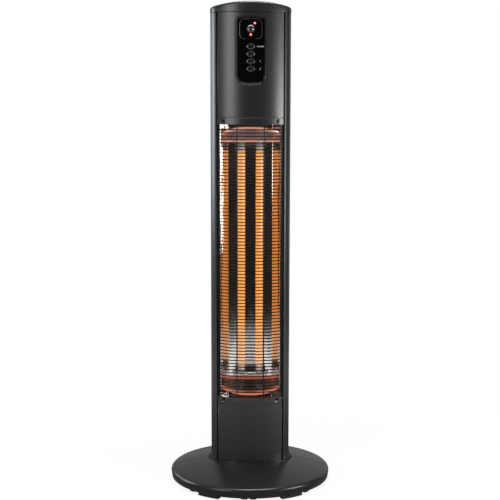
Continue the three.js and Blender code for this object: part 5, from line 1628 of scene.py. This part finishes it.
def build_world(settings):
    """White to the camera; a plain studio to reflections; an even level to the rest."""
    world = bpy.data.worlds.new("Studio")
    bpy.context.scene.world = world
    g = fresh_graph(world)
    direction = g.axes(g.add("ShaderNodeTexCoord").outputs["Generated"])
    behind = g.span(direction["Y"], 0.25, 0.75, smooth=True)
    sides = g.span(direction["X"], -0.6, 0.6, settings.behind_left, settings.behind_right)
    above = g.span(direction["Z"], 0.25, 0.95, 0.0, settings.top_level, smooth=True)
    level = g.math("ADD", g.math("MULTIPLY", behind, sides), settings.front_level)
    level = g.math("ADD", level, above)
    path = g.add("ShaderNodeLightPath").outputs
    seen = g.math("MAXIMUM", path["Is Glossy Ray"], path["Is Transmission Ray"])
    strength = g.mix(path["Is Camera Ray"], g.mix(seen, settings.ambient, level), 1.0)
    background = g.add("ShaderNodeBackground", {"Color": (1, 1, 1, 1), "Strength": strength})
    g.add("ShaderNodeOutputWorld", {"Surface": background.outputs[0]})


def floor_finish(settings):
    """Pale floor that takes shadows, white to the camera further out, and bright to reflections."""
    material = bpy.data.materials.new("Pale floor")
    g = fresh_graph(material)
    place = g.add("ShaderNodeTexCoord").outputs["Object"]
    reach = g.add("ShaderNodeVectorMath", {0: place}, operation="LENGTH").outputs["Value"]
    far = settings.floor_radius
    fade = g.span(reach, far * 0.12, far * 0.4, settings.floor_white, 1.0, smooth=True)
    # reflections see a floor with a painted shadow under the heater, bright round it, and as dim as the
    # studio far off
    edge = g.span(reach, far * 0.92, far * 0.52, settings.front_level, 1.0, smooth=True)
    rear = g.span(g.axes(place)["Y"], -0.2, 0.2, 1.0, settings.behind_right, smooth=True)
    # painted shadow: reflections see the floor dim within reach of the heater
    near = g.span(reach, 0.45, 1.2, 0.18, 1.0, smooth=True)
    mirrored = g.math("MULTIPLY", g.math("MULTIPLY", edge, rear), near)
    path = g.add("ShaderNodeLightPath").outputs
    glossy = path["Is Glossy Ray"]
    plain = g.add("ShaderNodeBsdfDiffuse", {"Color": rgba(settings.floor_colour)})
    white = g.add("ShaderNodeEmission", {"Color": (1, 1, 1, 1), "Strength": g.mix(glossy, 1.0, mirrored)})
    share = g.math("MAXIMUM", g.math("MULTIPLY", path["Is Camera Ray"], fade), glossy)
    both = g.add("ShaderNodeMixShader", {0: share, 1: plain.outputs[0], 2: white.outputs[0]})
    g.add("ShaderNodeOutputMaterial", {"Surface": both.outputs[0]})
    return material


def build_floor(settings):
    """Round pale floor that keeps a soft shadow and fades into the white ground."""
    radii = np.linspace(0.02, settings.floor_radius / MM, 24)
    mesh = new_mesh("floor", loft([at_level(circle(r, steps=96), 0.0) for r in radii], capped=False))
    clean(mesh)
    for polygon in mesh.polygons:
        if polygon.normal.z < 0:
            polygon.flip()
    mesh.materials.append(floor_finish(settings))
    obj = in_scene("floor", mesh)


def build_camera():
    """Camera at the photograph's viewing angle."""
    camera = bpy.data.cameras.new("Camera")
    camera.sensor_width = 36.0
    camera.lens = CAMERA_LENS
    camera.clip_end = 50
    obj = in_scene("Camera", camera)
    heading, pitch, roll = (math.radians(a) for a in CAMERA_ANGLES)
    turn = Matrix.Rotation(heading, 4, "Z") @ Matrix.Rotation(pitch, 4, "X") @ Matrix.Rotation(roll, 4, "Z")
    obj.matrix_world = Matrix.Translation(CAMERA_PLACE) @ turn
    bpy.context.scene.camera = obj


def build_stage(settings):
    """Camera, floor, softboxes and world."""
    bpy.context.scene.view_settings.view_transform = "Standard"
    build_camera()
    build_world(settings)
    build_floor(settings)
    cool = (0.86, 0.93, 1.0)
    soft_light("Left softbox", settings.left_power, -39.5, 1.15, (0.75, 1.3), 1.15)
    soft_light("Right softbox", settings.right_power, 62, 0.66, (0.72, 0.64), 0.66, lean=16)
    soft_light("Side softbox", settings.side_power, -98, 1.0, (0.7, 1.0), 1.0, cool)
    soft_light("Rear softbox", settings.rear_power, -125, 0.9, (0.6, 0.9), 0.75, cool)
    soft_light("Top softbox", settings.top_power, 20, 2.6, (1.3, 0.45), 0, distance=0.4)


# ------------------------------------------------------------------ settings of the add-on
class HeaterShellSettings(PropertyGroup):
    """Shell pieces: base, column and cap"""

    shell_colour: FloatVectorProperty(
        name="Shell colour", description="Satin black of the column and base", subtype="COLOR", size=3, min=0,
        max=1, default=(0.0125, 0.0130, 0.0139),
    )
    edge_softness: FloatProperty(
        name="Edge softness", description="Rounding of the folded sheet edges", unit="LENGTH", min=0.0001,
        max=0.002, default=0.0006,
    )
    base_steps: IntProperty(
        name="Base steps", description="Facets round each half of the base", min=24, max=240, default=110,
    )
    foot_ribs: IntProperty(
        name="Foot ribs", description="Grip ribs on the rim of each rubber foot", min=2, max=24, default=10,
    )


class HeaterGuardSettings(PropertyGroup):
    """Wire guard"""

    wire_diameter: FloatProperty(
        name="Wire diameter", description="Thickness of the guard's wires", unit="LENGTH", min=0.001,
        max=0.004, default=0.0026,
    )
    wire_stations: IntProperty(
        name="Wire stations", description="Points along each bowed wire", min=9, max=65, default=25,
    )


class HeaterLampSettings(PropertyGroup):
    """Lamps"""

    glow_colour: FloatVectorProperty(
        name="Glow colour", description="Colour of the lit quartz tubes", subtype="COLOR", size=3, min=0,
        max=1, default=(0.74, 0.33, 0.085),
    )
    glow_strength: FloatProperty(
        name="Glow strength", description="Brightness of the lit quartz tubes", min=0, max=20, default=1.0,
    )
    coil_pitch: FloatProperty(
        name="Coil pitch", description="Height of one turn of the filament", unit="LENGTH", min=0.001,
        max=0.02, default=0.0042,
    )


class HeaterStageSettings(PropertyGroup):
    """Stage"""

    floor_colour: FloatVectorProperty(
        name="Floor colour", description="Pale floor", subtype="COLOR", size=3, min=0, max=1,
        default=(0.86, 0.86, 0.86),
    )
    floor_radius: FloatProperty(
        name="Floor radius", description="Reach of the floor", unit="LENGTH", min=1, max=6, default=2.35,
    )
    floor_white: FloatProperty(
        name="Floor white", description="Share of plain white near the heater", min=0, max=1, default=0.90,
    )
    ambient: FloatProperty(name="Ambient", description="Even light from all round", min=0, max=2, default=0.4)
    front_level: FloatProperty(
        name="Front level", description="Brightness of the studio in front, in reflections", min=0, max=2,
        default=0.012,
    )
    top_level: FloatProperty(
        name="Top level", description="Brightness of the studio overhead, in reflections", min=0, max=2,
        default=0.15,
    )
    behind_left: FloatProperty(
        name="Behind left", description="Brightness behind on the left, in reflections", min=0, max=2,
        default=0.28,
    )
    behind_right: FloatProperty(
        name="Behind right", description="Brightness behind on the right, in reflections", min=0, max=2,
        default=0.52,
    )
    left_power: FloatProperty(
        name="Left softbox", description="Power of the softbox at the front left", unit="POWER", min=0,
        max=200, default=13.5,
    )
    right_power: FloatProperty(
        name="Right softbox", description="Power of the softbox at the right", unit="POWER", min=0, max=200,
        default=24,
    )
    side_power: FloatProperty(
        name="Side softbox", description="Power of the softbox at the left side", unit="POWER", min=0,
        max=200, default=23,
    )
    rear_power: FloatProperty(
        name="Rear softbox", description="Power of the softbox at the rear left", unit="POWER", min=0,
        max=200, default=6,
    )
    top_power: FloatProperty(
        name="Top softbox", description="Power of the softbox overhead", unit="POWER", min=0, max=200,
        default=40,
    )


# ------------------------------------------------------------------ operators
class HEATER_OT_finishes(Operator):
    """Make every finish of the heater"""

    bl_idname = "heater.finishes"
    bl_label = "Finishes"

    def execute(self, context):
        FINISHES.update(build_finishes(context.scene.heater_shell, context.scene.heater_lamps))
        return {"FINISHED"}


class HEATER_OT_base(Operator):
    """Build the two shell halves of the base with its feet and tabs"""

    bl_idname = "heater.base"
    bl_label = "Base"

    def execute(self, context):
        build_base(context.scene.heater_shell)
        build_feet(context.scene.heater_shell)
        build_tabs()
        return {"FINISHED"}


class HEATER_OT_column(Operator):
    """Build the side profiles, covers, guard strips and rear panel"""

    bl_idname = "heater.column"
    bl_label = "Column"

    def execute(self, context):
        settings = context.scene.heater_shell
        build_sides(settings)
        build_front_covers(settings)
        build_strips(settings)
        build_rear_panel(settings)
        return {"FINISHED"}


class HEATER_OT_cap(Operator):
    """Build the crowned top cap"""

    bl_idname = "heater.cap"
    bl_label = "Top cap"

    def execute(self, context):
        build_cap()
        return {"FINISHED"}


class HEATER_OT_guard(Operator):
    """Build the bowed wire guard and its screws"""

    bl_idname = "heater.guard"
    bl_label = "Wire guard"

    def execute(self, context):
        build_guard(context.scene.heater_guard)
        build_screws()
        return {"FINISHED"}


class HEATER_OT_reflector(Operator):
    """Build the mirror trough and its end walls"""

    bl_idname = "heater.reflector"
    bl_label = "Reflector"

    def execute(self, context):
        build_reflector()
        return {"FINISHED"}


class HEATER_OT_lamps(Operator):
    """Build the quartz lamps, their filaments, ceramic ends and leads"""

    bl_idname = "heater.lamps"
    bl_label = "Lamps"

    def execute(self, context):
        build_lamps(context.scene.heater_lamps)
        build_leads()
        return {"FINISHED"}


class HEATER_OT_controls(Operator):
    """Build the control panel, its lights and its push buttons"""

    bl_idname = "heater.controls"
    bl_label = "Controls"

    def execute(self, context):
        build_panel()
        build_lights()
        build_buttons()
        return {"FINISHED"}


class HEATER_OT_fittings(Operator):
    """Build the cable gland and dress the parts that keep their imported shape"""

    bl_idname = "heater.fittings"
    bl_label = "Fittings"

    def execute(self, context):
        build_gland()
        dress_inner_parts()
        return {"FINISHED"}


class HEATER_OT_stage(Operator):
    """Set up the floor, lights, world and camera"""

    bl_idname = "heater.stage"
    bl_label = "Stage"

    def execute(self, context):
        build_stage(context.scene.heater_stage)
        return {"FINISHED"}


OPERATORS = (
    HEATER_OT_finishes, HEATER_OT_base, HEATER_OT_column, HEATER_OT_cap, HEATER_OT_guard, HEATER_OT_reflector,
    HEATER_OT_lamps, HEATER_OT_controls, HEATER_OT_fittings, HEATER_OT_stage,
)
GROUP_PROPERTIES = {
    "heater_shell": HeaterShellSettings,
    "heater_guard": HeaterGuardSettings,
    "heater_lamps": HeaterLampSettings,
    "heater_stage": HeaterStageSettings,
}


class HEATER_PT_panel(Panel):
    """Lists the heater's pieces and settings in the sidebar"""

    bl_idname = "HEATER_PT_panel"
    bl_label = "Patio Heater Tower"
    bl_space_type = "VIEW_3D"
    bl_region_type = "UI"
    bl_category = "Heater"

    def draw(self, context):
        layout = self.layout
        for name, group in GROUP_PROPERTIES.items():
            box = layout.box()
            for key in group.__annotations__:
                box.prop(getattr(context.scene, name), key)
        for operator in OPERATORS:
            layout.operator(operator.bl_idname)


CLASSES = (*GROUP_PROPERTIES.values(), *OPERATORS, HEATER_PT_panel)


def register():
    """Registers the classes and hangs the settings on the scene."""
    for cls in CLASSES:
        bpy.utils.register_class(cls)
    for name, group in GROUP_PROPERTIES.items():
        setattr(bpy.types.Scene, name, PointerProperty(type=group))


def unregister():
    """Takes the settings and the classes away again."""
    for name in GROUP_PROPERTIES:
        delattr(bpy.types.Scene, name)
    for cls in reversed(CLASSES):
        bpy.utils.unregister_class(cls)


def main():
    """Builds the heater by its operators, in order."""
    register()
    for operator in OPERATORS:
        area, action = operator.bl_idname.split(".")
        getattr(getattr(bpy.ops, area), action)()


if __name__ == "__main__":
    main()
